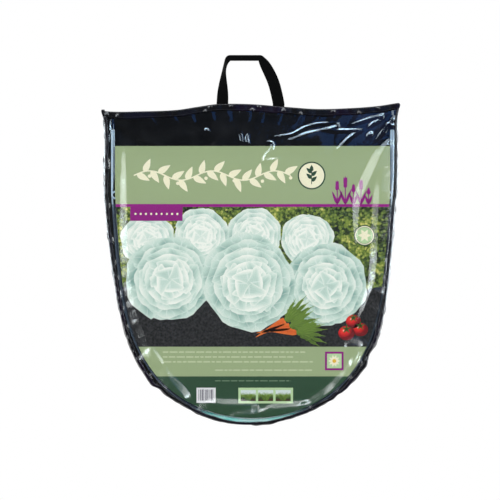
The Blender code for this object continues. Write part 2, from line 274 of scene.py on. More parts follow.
def piece(name, verts, faces, finish, body, node=None, smooth=True):
    """A mesh with the material of a finish, standing for a node where one is named. A finish is a material
    and a slot name; the slot name is not used.
    """
    mesh = bpy.data.meshes.new(name)
    mesh.from_pydata(np.asarray(verts).tolist(), [], [list(map(int, face)) for face in faces])
    mesh.validate()
    if smooth:
        mesh.shade_smooth()
    mesh.materials.append(finish[0])
    thing = bpy.data.objects.new(name, mesh)
    bpy.context.scene.collection.objects.link(thing)
    if body:
        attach(thing, body)
    if node:
        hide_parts(node)
    return thing


def grid_points(x, y, z):
    """A grid of points from coordinates that may each be the same along a row or a column."""
    return np.stack(np.broadcast_arrays(x, y, z), axis=-1)


def grid_faces(rows, columns, wrap=False, start=0):
    """Quads over a grid of points; wrap closes each row."""
    faces = []
    across = columns if wrap else columns - 1
    for row in range(rows - 1):
        for column in range(across):
            after = (column + 1) % columns
            a = start + row * columns
            faces.append((a + column, a + after, a + columns + after, a + columns + column))
    return faces


def tube_faces(count, sides, start=0):
    """The faces of a closed tube through rings of points, with both ends capped."""
    last = start + (count - 1) * sides
    caps = [[start + k for k in range(sides)][::-1], [last + k for k in range(sides)]]
    return grid_faces(count, sides, wrap=True, start=start) + caps


def tube_piece(name, rings, finish, body, node=None):
    return piece(name, rings.reshape(-1, 3), tube_faces(*rings.shape[:2]), finish, body, node)


def vinyl_sheet(name, points, inwards, node):
    """Black vinyl from a grid of points on its outside and the way its inside lies."""
    rows, columns = points.shape[:2]
    size = rows * columns
    verts = np.concatenate([points.reshape(-1, 3), (points + inwards * vinyl_thickness).reshape(-1, 3)])
    faces = grid_faces(rows, columns)
    faces += [face[::-1] for face in grid_faces(rows, columns, start=size)]
    index = np.arange(size).reshape(rows, columns)
    rim = [*index[0], *index[1:, -1], *index[-1, -2::-1], *index[-2:0:-1, 0]]
    faces += [(b, a, a + size, b + size) for a, b in zip(rim, rim[1:] + rim[:1])]
    return piece(name, verts, faces, black_vinyl, "bag", node)


def swept(line, inward, depth, level):
    """A grid of points at depths inwards from a line in the XZ plane, and at levels in Y."""
    return grid_points(line[:, :1] + inward[:, :1] * depth, level, line[:, 1:] + inward[:, 1:] * depth)


def rounded_profile(depth, front, back, radius, steps=4):
    """A rounded box as (depth, y) points, from y front to y back, with its corners rounded."""
    points = []
    corners = [(radius, back - radius, 90), (radius, front + radius, 180),
               (depth - radius, front + radius, 270), (depth - radius, back - radius, 0)]
    for u, v, first in corners:
        for step in range(steps + 1):
            angle = (first + 90 * step / steps) * degree
            points.append((u + radius * math.cos(angle), v + radius * math.sin(angle)))
    return np.array(points)


def round_rings(points, radius, sides):
    """Rings of a round wire along a line of points in X, Y and Z."""
    travel = directions(points)
    across = np.array([0.0, 1.0, 0.0]) - travel * travel[:, 1:2]
    across /= np.linalg.norm(across, axis=1)[:, None]
    turns = turns_of(sides)[None, :, None]
    spokes = across[:, None, :] * np.cos(turns) + np.cross(travel, across)[:, None, :] * np.sin(turns)
    return points[:, None, :] + np.broadcast_to(radius, (len(points),))[:, None, None] * spokes


# Materials

def color_of(red, green, blue):
    """A display colour, 0 to 255, as the linear colour that a shader takes."""
    linear = []
    for value in (red, green, blue):
        value = value / 255
        linear.append(value / 12.92 if value <= 0.04045 else ((value + 0.055) / 1.055) ** 2.4)
    return (*linear, 1.0)


class Nodes:
    """Short calls for one node tree. An input takes a plain value or another node's output."""

    def __init__(self, tree):
        self.tree = tree

    def fill(self, node, inputs):
        for name, value in inputs.items():
            if isinstance(value, bpy.types.NodeSocket):
                self.tree.links.new(value, node.inputs[name])
            else:
                node.inputs[name].default_value = value

    def add(self, kind, output, inputs=None, **settings):
        """A new node with its settings and inputs; gives the output named."""
        node = self.tree.nodes.new("ShaderNode" + kind)
        for name, value in settings.items():
            setattr(node, name, value)
        self.fill(node, inputs or {})
        return node.outputs[output]

    def place(self):
        return self.add("TexCoord", "Object")

    def axis(self, name, vector=None):
        return self.add("SeparateXYZ", name, {"Vector": vector or self.place()})

    def ray(self, kind):
        return self.add("LightPath", f"Is {kind} Ray")

    def noise(self, scale, detail=3.0, vector=None):
        inputs = {"Vector": vector or self.place(), "Scale": scale, "Detail": detail}
        return self.add("TexNoise", "Fac", inputs)

    def wave(self, direction, scale, distortion):
        return self.add("TexWave", "Fac", {"Vector": self.place(), "Scale": scale, "Distortion": distortion,
                                           "Detail": 1.0}, bands_direction=direction)

    def math(self, operation, first, second=0.0, clamp=False):
        return self.add("Math", 0, {0: first, 1: second}, operation=operation, use_clamp=clamp)

    def plus(self, first, second, clamp=False):
        return self.math("ADD", first, second, clamp)

    def minus(self, first, second):
        return self.math("SUBTRACT", first, second)

    def times(self, first, second, clamp=False):
        return self.math("MULTIPLY", first, second, clamp)

    def either(self, first, second):
        return self.math("MAXIMUM", first, second)

    def over(self, first, second):
        return self.math("GREATER_THAN", first, second)

    def spread(self, value, low, high, start=0.0, end=1.0):
        """From low to high, as a value goes from start to end."""
        return self.add("MapRange", 0, {"Value": value, "From Min": start, "From Max": end,
                                        "To Min": low, "To Max": high})

    def ramp(self, value, *stops):
        """A colour ramp through stops, each a place and a display colour."""
        color = self.add("ValToRGB", "Color", {"Fac": value})
        elements = color.node.color_ramp.elements
        for index in (0, -1):
            elements[index].position = stops[index][0]
            elements[index].color = color_of(*stops[index][1])
        for place, tone in stops[1:-1]:
            elements.new(place).color = color_of(*tone)
        return color

    def mix(self, share, first, second):
        return self.add("Mix", 2, {0: share, 6: first, 7: second}, data_type="RGBA")

    def mix_shader(self, share, first, second):
        return self.add("MixShader", 0, {0: share, 1: first, 2: second})

    def bump(self, height, distance, strength=1.0, before=None):
        inputs = {"Height": height, "Distance": distance, "Strength": strength}
        if before:
            inputs["Normal"] = before
        return self.add("Bump", 0, inputs)


class Paint(Nodes):
    """A material, its node tree and its principled shader."""

    def __init__(self, name):
        self.material = bpy.data.materials.new(name)
        self.material.use_nodes = True
        super().__init__(self.material.node_tree)
        self.shader = self.tree.nodes["Principled BSDF"]

    def shade(self, inputs):
        """Fills the principled shader's inputs and gives its output."""
        self.fill(self.shader, inputs)
        return self.shader.outputs["BSDF"]

    def surface(self, shader):
        """Puts another shader on the surface."""
        self.fill(self.tree.nodes["Material Output"], {"Surface": shader})


def make_black_vinyl():
    """Supple black vinyl with a fine grain, a navy tint that is painted reflection in broad patches,
    strongest towards the right, and softly mottled gloss.
    """
    paint = Paint("black_vinyl")
    # Painted reflection: the navy in the ramp below comes in random patches and grows towards the right
    # (larger x).
    side = paint.spread(paint.axis("X"), -0.25, 0.3, -0.02, 0.2)
    wrinkles = paint.bump(paint.noise(120.0, 2.0), 0.5 * mm, 0.3)
    paint.shade({
        "Base Color": paint.ramp(paint.plus(paint.noise(9.0, 2.0), side),
                                 (0.3, (5, 5, 8)), (0.6, (8, 10, 19)), (0.85, (15, 25, 54))),
        "Roughness": paint.spread(paint.noise(34.0), 0.14, 0.3),
        "Specular IOR Level": 0.36,
        "Normal": paint.bump(paint.noise(1900.0, 2.0), 0.03 * mm, 0.6, wrinkles),
    })
    return paint.material


def make_binding_vinyl():
    """The folded vinyl tape over the seams and the mouth."""
    paint = Paint("seam_binding")
    wrinkles = paint.bump(paint.noise(170.0, 2.0), 0.5 * mm, 0.4)
    paint.shade({
        # The purple and navy tints in this ramp, in random patches, are painted reflection on the near-black
        # tape.
        "Base Color": paint.ramp(paint.noise(11.0, 1.0),
                                 (0.35, (20, 13, 30)), (0.5, (12, 13, 15)), (0.65, (15, 17, 33))),
        "Roughness": paint.spread(paint.noise(60.0), 0.08, 0.24),
        "Specular IOR Level": 0.42,
        "Normal": paint.bump(paint.noise(1500.0, 2.0), 0.04 * mm, 0.6, wrinkles),
    })
    return paint.material


def make_clear_vinyl():
    """Clear vinyl: seen through straight on, with gloss that grows towards its edges.

    Above the card its gloss is sharp and cool, and on the card it is softer and white.
    """
    paint = Paint("clear_vinyl")
    paint.tree.nodes.remove(paint.shader)
    facing = paint.add("LayerWeight", "Facing", {"Blend": 0.5})
    share = paint.plus(paint.times(paint.math("POWER", facing, 5.0), 0.9), 0.086, clamp=True)
    soft = paint.spread(paint.axis("Z"), 0.06, 0.17, card_high.z + 2 * mm, card_high.z - 22 * mm)
    on_card = paint.times(soft, 6.0, clamp=True)
    clear = paint.add("BsdfTransparent", 0, {"Color": (0.97, 0.98, 0.985, 1.0)})
    gloss = paint.add("BsdfGlossy", 0, {
        "Color": paint.mix(on_card, color_of(190, 226, 255), color_of(250, 252, 250)),
        "Roughness": soft,
        "Normal": paint.bump(paint.noise(70.0, 2.0), 0.5 * mm, 0.3),
    })
    paint.surface(paint.mix_shader(share, clear, gloss))
    return paint.material


def make_webbing():
    """Woven black polypropylene: fine ribs along the tape with a twill across them."""
    paint = Paint("webbing")
    height = paint.times(paint.wave("DIAGONAL", 330.0, 0.4), paint.wave("X", 240.0, 0.3))
    twill = paint.bump(height, 0.25 * mm, 0.9)
    paint.shade({
        # Painted shade: the ramp darkens the low parts of the weave.
        "Base Color": paint.ramp(height, (0.0, (1, 1, 1)), (0.8, (8, 8, 9))),
        "Roughness": 0.9,
        "Specular IOR Level": 0.1,
        "Sheen Weight": 0.03,
        "Normal": paint.bump(paint.noise(900.0), 0.06 * mm, 0.6, twill),
    })
    return paint.material


def make_thread():
    paint = Paint("seam_thread")
    twist = paint.noise(2600.0)
    paint.shade({
        "Base Color": paint.ramp(twist, (0.3, (20, 20, 25)), (0.7, (48, 48, 56))),
        "Roughness": 0.55,
        "Normal": paint.bump(twist, 0.05 * mm),
    })
    return paint.material


def make_wire():
    """Galvanised wire with a soft spangle: bright legs, and painted shade that darkens the arch below the
    shoulder.
    """
    paint = Paint("galvanised_wire")
    spangle = paint.add("TexVoronoi", "Distance", {"Vector": paint.place(), "Scale": 420.0})
    bright = paint.ramp(spangle, (0.0, (236, 252, 255)), (0.7, (190, 222, 250)))
    # Painted shade: the arch, deep in the bag inside its casing, gets this darker colour.
    shaded_arch = paint.ramp(spangle, (0.0, (116, 136, 150)), (0.7, (70, 88, 102)))
    rise = paint.spread(paint.axis("Z"), 0.0, 1.0, shoulder_level - 36 * mm, shoulder_level)
    dull = paint.noise(160.0)
    paint.shade({
        "Base Color": paint.mix(rise, shaded_arch, bright),
        "Metallic": 0.12,
        "Roughness": paint.spread(dull, 0.36, 0.56),
        "Normal": paint.bump(dull, 0.08 * mm, 0.4),
    })
    return paint.material


def make_mesh_fabric(name, light, deep, open_share, glow_share, streak, taut_and_shaded_above=None):
    """Fine knitted mesh: threads of which a share glows with light from behind, and open holes.

    Its tone varies at random and runs in streaks along the axes where streak is small: painted shade and
    light that stand for the mesh's folds and glints. Above the level taut_and_shaded_above it is stretched
    over the wire, so the wire shows through it, and its tone turns to a painted shade of dark steel blue.
    """
    paint = Paint(name)
    knit = paint.either(paint.wave("X", 480.0, 0.3), paint.wave("Z", 480.0, 0.3))
    drawn = paint.add("VectorMath", 0, {0: paint.place(), 1: streak}, operation="MULTIPLY")
    # The streaked tone is painted shade and light for the mesh's folds and glints.
    tone = paint.mix(paint.spread(paint.noise(90.0, 4.0, drawn), -1.3, 2.3), deep, light)
    hole = paint.times(paint.minus(1.35, knit), open_share, clamp=True)
    if taut_and_shaded_above is not None:
        rise = paint.spread(paint.axis("Z"), 0.0, 1.0, taut_and_shaded_above - casing_fade, taut_and_shaded_above + casing_fade)
        # Painted shade: above that level the tone turns dark steel blue.
        tone = paint.mix(rise, tone, color_of(58, 78, 104))
        hole = paint.plus(hole, paint.times(rise, 0.5), clamp=True)
    threads = paint.shade({"Base Color": tone, "Roughness": 0.6, "Normal": paint.bump(knit, 0.12 * mm, 0.6)})
    cloth = paint.mix_shader(glow_share, threads, paint.add("BsdfTranslucent", 0, {"Color": light}))
    paint.surface(paint.mix_shader(hole, cloth, paint.add("BsdfTransparent", 0)))
    return paint.material


black_vinyl = (make_black_vinyl(), "black_vinyl")
binding_vinyl = (make_binding_vinyl(), "seam_binding")
clear_vinyl = (make_clear_vinyl(), "clear_vinyl")
webbing = (make_webbing(), "webbing")
thread = (make_thread(), "seam_binding")
wire = (make_wire(), "galvanised_wire")
net_fabric = (make_mesh_fabric("micro_mesh", color_of(234, 246, 246), color_of(184, 212, 215), 0.42,
                               0.3, (1.0, 1.0, 0.1)), "micro_mesh")
casing_fabric = (make_mesh_fabric("mesh_casing", color_of(226, 255, 255), color_of(110, 236, 226), 0.0,
                                  0.06, (0.1, 3.6, 3.6), casing_clear_and_shaded_level), "mesh_casing")


# The stage: floor, world, lights and camera

camera_distance = 20.0
view_width = 0.86
sensor = 36.0
view_reach = 200.0
picture_centre = Vector((0.0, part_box("front_window")[0].y, -325.1 * mm))
floor_level = -0.8
floor_reach = 45.0
front_gloss_share = 0.03
floor_turn = (0.1, 2.0)
world_turn = (-0.1, 0.85)
diffuse_share = 0.6
strip_light_x = 1.9
top_light_level = 1.65
strip_light_distance = 3.45
strip_y = picture_centre.y - strip_light_distance

# Each light: its place, width, height and radiance, and the colour of those that only gloss shows
cool = (0.76, 0.9, 1.0)
lights = {
    "left_softbox": ((-1.66, -3.6, 0.3), 1.3, 2.1, 2.9, None),
    "right_softbox": ((1.66, -3.6, 0.3), 1.3, 2.1, 2.9, None),
    "top_softbox": ((0.0, -3.5, 1.4), 2.8, 1.0, 3.4, None),
    "left_strip": ((-strip_light_x, strip_y, 0.3), 0.5, 2.0, 11.0, cool),
    "right_strip": ((strip_light_x, strip_y, 0.3), 0.5, 2.0, 11.0, cool),
    "top_strip": ((0.0, strip_y, top_light_level), 2.8, 0.4, 11.0, cool),
    "blue_panel": ((0.66, -3.6, 0.22), 1.1, 0.64, 0.46, (0.1, 0.36, 1.0)),
    "back_strip_left": ((-1.5, 3.2, 0.3), 0.4, 2.0, 6.0, cool),
    "back_strip_right": ((1.5, 3.2, 0.3), 0.4, 2.0, 6.0, cool),
    "back_left": ((-2.0, 2.8, 1.0), 0.8, 1.6, 4.0, None),
    "back_right": ((2.2, 2.2, 0.2), 0.5, 1.8, 4.0, None),
}


def make_camera():
    data = bpy.data.cameras.new("camera")
    data.sensor_width = sensor
    data.lens = sensor * camera_distance / view_width
    data.clip_end = view_reach
    camera = bpy.data.objects.new("camera", data)
    camera.location = picture_centre - Vector((0, camera_distance, 0))
    camera.rotation_euler = (90 * degree, 0, 0)
    bpy.context.scene.collection.objects.link(camera)
    bpy.context.scene.camera = camera


def make_floor():
    """Plain and white to the camera; in glossy rays it is white behind the object and dim in front."""
    paint = Paint("floor")
    behind = paint.spread(paint.axis("Y"), front_gloss_share, 1.0, *floor_turn)
    glossy = paint.ray("Glossy")
    seen = paint.either(paint.ray("Camera"), paint.ray("Transmission"))
    white = paint.add("Emission", 0, {"Color": (1, 1, 1, 1),
                                      "Strength": paint.either(seen, paint.times(glossy, behind))})
    plain = paint.shade({"Base Color": color_of(232, 232, 232), "Roughness": 0.7})
    paint.surface(paint.mix_shader(paint.either(seen, glossy), plain, white))
    mesh = bpy.data.meshes.new("floor")
    corners = [(x * floor_reach, y * floor_reach, floor_level)
               for x, y in ((-1, -1), (1, -1), (1, 1), (-1, 1))]
    mesh.from_pydata(corners, [], [(0, 1, 2, 3)])
    mesh.materials.append(paint.material)
    floor = bpy.data.objects.new("floor", mesh)
    bpy.context.scene.collection.objects.link(floor)


def make_world():
    """White behind the object and dim in front of it, where the glossy window looks."""
    world = bpy.data.worlds.new("studio")
    bpy.context.scene.world = world
    world.use_nodes = True
    nodes = Nodes(world.node_tree)
    behind = nodes.axis("Y", nodes.add("TexCoord", "Generated"))
    glossy = nodes.ray("Glossy")
    seen = nodes.either(nodes.ray("Camera"), nodes.ray("Transmission"))
    gloss = nodes.times(glossy, nodes.spread(behind, front_gloss_share, 1.0, *world_turn))
    white = nodes.either(seen, gloss)
    diffuse = nodes.times(nodes.minus(1.0, nodes.either(seen, glossy)), diffuse_share)
    background = nodes.tree.nodes["Background"]
    nodes.fill(background, {"Color": (1, 1, 1, 1), "Strength": nodes.plus(white, diffuse)})


def make_light(name, place, width, height, radiance, gloss_color):
    data = bpy.data.lights.new(name, "AREA")
    data.shape = "RECTANGLE"
    data.size = width
    data.size_y = height
    data.energy = radiance * math.pi * width * height
    data.color = gloss_color or (1, 1, 1)
    light = bpy.data.objects.new(name, data)
    light.location = place
    light.rotation_euler = (picture_centre - Vector(place)).to_track_quat("-Z", "Y").to_euler()
    light.visible_camera = False
    light.visible_diffuse = gloss_color is None
    bpy.context.scene.collection.objects.link(light)


make_camera()
make_floor()
make_world()
for light_name, light_values in lights.items():
    make_light(light_name, *light_values)
bpy.context.scene.view_settings.view_transform = "Standard"


# The seams and their stitches

seam_step = 1.6 * mm
seam_drop = hem_height * 0.7
seam_corner = 1.1 * mm
seam_wander = 0.5 * mm
seam_wander_length = 31.0 * mm
bottom_thinning = 1.5 * mm
bottom_thinning_levels = (bag_bottom_level + 4 * mm, bag_bottom_level + 60 * mm)
shoulder_thinning = 2.4 * mm
shoulder_thinning_levels = (-290 * mm, -240 * mm)
shoulder_thinning_reach = 100 * mm
pillow_height = 0.55 * mm
pillow_sink = 0.3 * mm
pucker_depth = 0.22 * mm
pucker_length = 17.0 * mm
pucker_slant = 5.0 * mm
back_relief_share = 0.3
seam_stitch_share = 0.62
stitch_length = 2.8 * mm
stitch_gap = 1.2 * mm
stitch_radius = 0.28 * mm
stitch_sides = 6
stitch_sink_share = 0.6
stitch_follow_share = 0.24
stitch_place_shares = np.array([0.0, 0.12, 0.5, 0.88, 1.0])
stitch_swell_shares = np.array([0.25, 0.8, 1.0, 0.8, 0.25])


def make_bound_seam(name, node, seed):
    """The bound seam round the U: pillowed, puckered by its stitches, narrower under the card."""
    low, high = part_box(node)
    front = node == "front_binding"
    side, relief_share = (-1, 1.0) if front else (1, back_relief_share)
    line, inward, places = bag_line(seam_step, seam_drop)
    edge = seam_wander * ripple(places, 0, seam_wander_length, seed + 1)
    narrow = bottom_thinning * (1 - smooth_step(line[:, 1], *bottom_thinning_levels))
    if front:
        right_share = smooth_step(line[:, 0], 0, shoulder_thinning_reach)
        narrow += shoulder_thinning * right_share * smooth_step(line[:, 1], *shoulder_thinning_levels)
    base = rounded_profile(binding_width, low.y, high.y, seam_corner, 5)
    share = base[None, :, 0] / binding_width
    depth = base[None, :, 0] + np.clip((share - 0.5) * 2, 0, 1) * (edge - narrow)[:, None]
    outside = (base[None, :, 1] < (low.y + high.y) / 2) == front
    pillow = pillow_height * np.clip(1 - (2 * share - 1) ** 2, 0, 1)
    waves = ripple(places[:, None], share * pucker_slant, pucker_length, seed)
    rise = (pillow * (1 + 0.5 * waves) + pucker_depth * waves) * outside
    level = base[None, :, 1] + side * relief_share * np.clip(rise, -pillow_sink, None)
    tube_piece(name, swept(line, inward, depth, level), binding_vinyl, "bag", node)
    crown = pillow_height * (1 - (2 * seam_stitch_share - 1) ** 2)
    crown = crown * (1 + 0.5 * ripple(places, seam_stitch_share * pucker_slant, pucker_length, seed))
    stitch_line = line + inward * (binding_width * seam_stitch_share - narrow * stitch_follow_share)[:, None]
    face = low.y if front else high.y
    make_stitches(name + "_stitches", stitch_line, face + side * relief_share * crown, side)


def make_stitches(name, line, levels, side):
    """A row of short, rounded stitches along a line in the XZ plane, lying on a face at the levels."""
    places = arc_places(line)
    verts, faces = [], []
    start = stitch_gap
    while start + stitch_length < places[-1]:
        along = start + stitch_length * stitch_place_shares
        spine = np.stack([np.interp(along, places, row) for row in (line[:, 0], levels, line[:, 1])], axis=1)
        spine[:, 1] += side * stitch_radius * (stitch_swell_shares - stitch_sink_share)
        faces += tube_faces(len(spine), stitch_sides, len(verts))
        rings = round_rings(spine, stitch_radius * stitch_swell_shares, stitch_sides)
        verts.extend(rings.reshape(-1, 3))
        start += stitch_length + stitch_gap
    piece(name, verts, faces, thread, "bag")


# The gusset and the two panels

gusset_step = 2.4 * mm
gusset_columns = 25
gusset_swell = 1.6 * mm
gusset_least_swell = 0.1 * mm

# The gusset's cross wrinkles: height, length, slant over its width, and seed
gusset_wrinkles = [(0.9 * mm, 26.0 * mm, 2.2, 5), (1.3 * mm, 90.0 * mm, 0.7, 6)]

panel_step = 1.5 * mm
panel_row_power = 0.94
panel_top_share = 0.8
panel_foot = 0.4 * mm
straight_top_drop = 14.0 * mm
lift_rows = 10
window_bulge = 1.2 * mm
bulge_reach = 70.0 * mm
window_fade = 3.0 * mm
window_rest = 51.75 * mm
back_sink = 1.2 * mm
back_swell = 2.6 * mm
back_fade = (6.0 * mm, 30.0 * mm)
back_pucker_share = 0.8
flat_reach = (12 * mm, 34 * mm)
flat_levels = (-160 * mm, -120 * mm)

# Slack in a panel: height, length, shares across and up, seed, and where from its edge it grows
window_slack = [(0.25 * mm, 120.0 * mm, 1.0, 1.0, 11, 6 * mm, 30 * mm),
                (0.05 * mm, 34.0 * mm, 1.0, 0.6, 12, 5 * mm, 16 * mm)]
back_slack = [(0.6 * mm, 150.0 * mm, 1.0, 1.0, 21, *back_fade),
              (0.1 * mm, 44.0 * mm, 0.8, 1.0, 22, *back_fade)]

edge_pucker_height = 0.7 * mm
edge_pucker_turn = 0.055
edge_pucker_start = (4.0 * mm, 8.0 * mm)
edge_pucker_end = (12.0 * mm, 34.0 * mm)
edge_pucker_centre_level = -330 * mm
crease_step = 2.0 * mm
gentle_flank = 5.0
crease_taper_power = 0.6
crease_end_share = 0.3
crease_rise = 1.6
crease_waver = 0.05
crease_waver_length = 37 * mm

# Creases of the clear front: path and both half widths in millimetres, the strength, and the short side
window_creases = [
    # the arc above the card and its tail
    ([(31, -132), (49, -130), (76, -126), (90, -116), (114, -108), (146, -106)], (4.4, 5), 1.0, 0),
    ([(146, -106), (154, -110), (148, -114), (122, -119)], (5, 5), 1.0, 0),
    ([(122, -119), (163, -120), (196, -118)], (5.5, 4.5), 1.0, 0),
    ([(196, -118), (176, -127), (160, -143), (144, -159)], (5.5, 4.5), 1.0, 0),
    ([(60, -140), (92, -128), (128, -118)], (8, 7), 0.8, 1),
    # the hook that crosses onto the card
    ([(22, -138), (30, -139), (39, -140), (39, -150), (27, -164), (25, -172), (39, -171), (53, -167)],
     (5, 8), 0.95, 0),
    # pull lines from the right corner
    ([(222, -95), (231, -98)], (4.5, 4.5), 1.0, 0),
    ([(202, -115), (215, -105), (226, -101)], (5, 5), 1.0, 0),
    ([(201, -131), (211, -121)], (5, 5), 1.0, 0),
    ([(168, -112), (206, -99), (238, -91)], (4.5, 4.5), 1.0, 0),
    ([(214, -140), (228, -122), (240, -106)], (5, 5), 1.0, 0),
    ([(240, -108), (251, -94)], (5.5, 5.5), 1.0, 0),
    ([(234, -106), (248, -112)], (5, 5), 1.0, 0),
    ([(236, -147), (246, -139)], (5, 5), 1.0, 0),
    ([(246.5, -114), (247, -150), (246.5, -214)], (4.6, 4.6), 1.0, 0),
    # small dents beside the middle
    ([(-4, -124), (-6, -134), (-2, -144)], (4.6, 4.6), 1.0, 0),
    ([(-17, -122), (-13, -142)], (4.4, 4.4), 0.9, 0),
    ([(-78, -116), (-70, -122)], (4.4, 4.4), 1.0, 0),
    # broad veils on the card
    ([(240, -134), (220, -182), (204, -216), (192, -241), (189, -276), (187, -300), (185, -334)],
     (30, 11), 0.8, -1),
    ([(230, -180), (224, -243), (222, -334), (216, -385), (207, -403), (198, -426), (190, -444), (186, -463)],
     (22, 15), 0.9, -1),
    ([(189, -500), (174, -526), (156, -552), (137, -572), (110, -591), (76, -604)], (11, 20), 0.72, -1),
    ([(162, -492), (178, -488), (194, -492)], (15, 15), 0.62, 1),
    ([(18, -600), (64, -601), (106, -588)], (17, 15), 0.84, 1),
    ([(-88, -588), (-38, -595), (6, -593), (16, -599)], (16, 17), 0.84, 1),
    ([(-38, -611), (10, -608), (32, -602)], (11, 12), 0.84, 1),
    ([(-213, -128), (-212, -200), (-210, -246), (-209, -334), (-201, -394), (-196, -426), (-186, -456),
      (-174, -487), (-166, -514), (-156, -532)], (16, 19), 0.64, -1),
    ([(-171, -492), (-163, -508), (-149, -526)], (9, 9), 0.68, 1),
    ([(-147, -524), (-142, -545), (-127, -566), (-104, -588)], (10, 22), 0.72, 1),
    ([(-238, -98), (-237, -130)], (4.4, 4.4), 1.0, 0),
]

# Soft creases of the back, written the same way: pulled from the handle's ends and the corners
back_creases = [
    ([(-54, -126), (-92, -172), (-150, -226)], (8, 15), 0.5, 1),
    ([(56, -126), (102, -182), (168, -238)], (8, 15), 0.5, -1),
    ([(-34, -146), (0, -166), (38, -148)], (10, 12), 0.42, 1),
    ([(-238, -108), (-184, -150), (-112, -182)], (9, 16), 0.5, 1),
    ([(242, -104), (188, -152), (120, -192)], (9, 16), 0.5, -1),
    ([(-206, -250), (-196, -340), (-160, -440)], (10, 18), 0.4, -1),
    ([(-104, -260), (-90, -350), (-120, -460)], (12, 20), 0.36, 1),
    ([(70, -250), (52, -330), (84, -430)], (12, 20), 0.36, -1),
    ([(196, -280), (190, -380), (150, -480)], (12, 18), 0.42, 1),
    ([(-110, -548), (-30, -580), (66, -570)], (12, 16), 0.5, 1),
    ([(-40, -470), (20, -498), (90, -500)], (12, 14), 0.36, 1),
]


def make_gusset():
    """The black strip round the U, swelling softly outwards between the seams, with cross wrinkles."""
    low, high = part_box("gusset")
    line, inward, places = bag_line(gusset_step)
    share = np.linspace(0, 1, gusset_columns)[None, :]
    level = low.y + (high.y - low.y) * share
    wrinkle = sum(height * ripple(places[:, None], level * slant, length, seed)
                  for height, length, slant, seed in gusset_wrinkles)
    out = np.sin(math.pi * share) * np.maximum(gusset_swell + wrinkle, gusset_least_swell)
    inwards = grid_points(inward[:, :1], 0 * level, inward[:, 1:])
    gusset = vinyl_sheet("gusset_skin", swept(line, inward, -out, level), inwards, "gusset")


def panel_grid(columns, rows):
    """Places over the bag's front or back: x and z, and how far each is from the edge."""
    line, inward, places = bag_line(panel_step)
    line = line + inward * panel_inset
    bottom = int(np.argmin(line[:, 1]))
    across = (line[0, 0], line[-1, 0], bag_centre_x - bag_half_width * panel_top_share)
    top = min(hem_level(x) for x in across)
    straight_top = top - straight_top_drop
    lowest = line[bottom, 1] + panel_foot
    level = lowest + (straight_top - lowest) * np.linspace(0, 1, rows) ** panel_row_power
    halves = (line[bottom::-1], line[bottom:])
    left_x, right_x = [np.interp(level, half[:, 1], half[:, 0]) for half in halves]
    x = left_x[:, None] + (right_x - left_x)[:, None] * np.linspace(0, 1, columns)[None, :]
    z = np.repeat(level[:, None], columns, axis=1)
    hem = np.array([hem_level(value) - panel_inset for value in x[-1]])
    lifts = np.arange(1, lift_rows + 1)[:, None]
    x = np.concatenate([x, np.repeat(x[-1:], lift_rows, axis=0)])
    z = np.concatenate([z, straight_top + (hem - straight_top) * lifts / lift_rows])
    side = np.minimum(x - x[:, :1], x[:, -1:] - x)
    return x, z, np.minimum(side, np.minimum(z - lowest, hem[None, :] - z))


def mirror_slope(x, z, across_x, across_z):
    """How steep a flank facing along across_x and across_z is when it mirrors a strip light."""
    to_side = (strip_light_x - np.sign(across_x) * x) / np.maximum(np.abs(across_x), 1e-6)
    to_top = np.where(across_z > 0, (top_light_level - z) / np.maximum(across_z, 1e-6), np.inf)
    return np.tan(np.arctan(np.minimum(to_side, to_top) / strip_light_distance) / 2)


def flank_height(share):
    """The height of an even flank with a rounded ridge and foot, for a slope of 1 and a width of 1."""
    bend = 0.2
    ridge = (1 - bend) - share ** 2 / (2 * bend)
    middle = (1 - bend) - (share - bend / 2)
    foot = (1 - np.minimum(share, 1)) ** 2 / (2 * bend)
    return np.where(share < bend, ridge, np.where(share < 1 - bend, middle, foot))


def crease(x, z, path, widths, strength, side):
    """A smooth crease along a given path, from one half width to another.

    A side of 1 or -1 makes the flank on the left or right of the path the short one, and the other long
    and gentle; 0 makes both short. At strength 1 a short flank is as steep as it takes to catch the light.
    """
    fine, places = resample(rounded_curve(np.array(path) * mm, 2), crease_step)
    widths = np.array(widths) * mm
    reach = max(widths) * (gentle_flank if side else 1.0)
    inside = ((x > fine[:, 0].min() - reach) & (x < fine[:, 0].max() + reach)
              & (z > fine[:, 1].min() - reach) & (z < fine[:, 1].max() + reach))
    px, pz = x[inside], z[inside]
    near = np.full(px.shape, 1.0)
    along = np.zeros(px.shape)
    hand = np.ones(px.shape)
    for (x0, z0), (x1, z1), start in zip(fine[:-1], fine[1:], places[:-1]):
        dx, dz = x1 - x0, z1 - z0
        t = np.clip(((px - x0) * dx + (pz - z0) * dz) / (dx * dx + dz * dz), 0, 1)
        distance = np.hypot(px - x0 - t * dx, pz - z0 - t * dz)
        closer = distance < near
        near = np.where(closer, distance, near)
        along = np.where(closer, start + t * math.hypot(dx, dz), along)
        hand = np.where(closer, np.sign(dx * (pz - z0) - dz * (px - x0)), hand)
    (fine_x, fine_z), (run_x, run_z) = fine.T, directions(fine).T
    facing = side if side else 1
    slopes = mirror_slope(fine_x, fine_z, -run_z * facing, run_x * facing)
    if not side:
        slopes = np.minimum(slopes, mirror_slope(fine_x, fine_z, run_z, -run_x))
    share = along / places[-1]
    taper = np.sin(math.pi * np.clip(share, 0.0, 1.0)) ** crease_taper_power
    width = widths[0] + (widths[1] - widths[0]) * share
    width = width * (crease_end_share + (1 - crease_end_share) * taper)
    top = strength * np.interp(along, places, slopes) * width * np.clip(taper * crease_rise, 0, 1)
    top = top * (1 + crease_waver * ripple(along, 0, crease_waver_length, 17))
    flank = np.where((side == 0) | (hand == side), width, width * gentle_flank)
    height = np.zeros(x.shape)
    height[inside] = top * flank_height(near / flank)
    return height


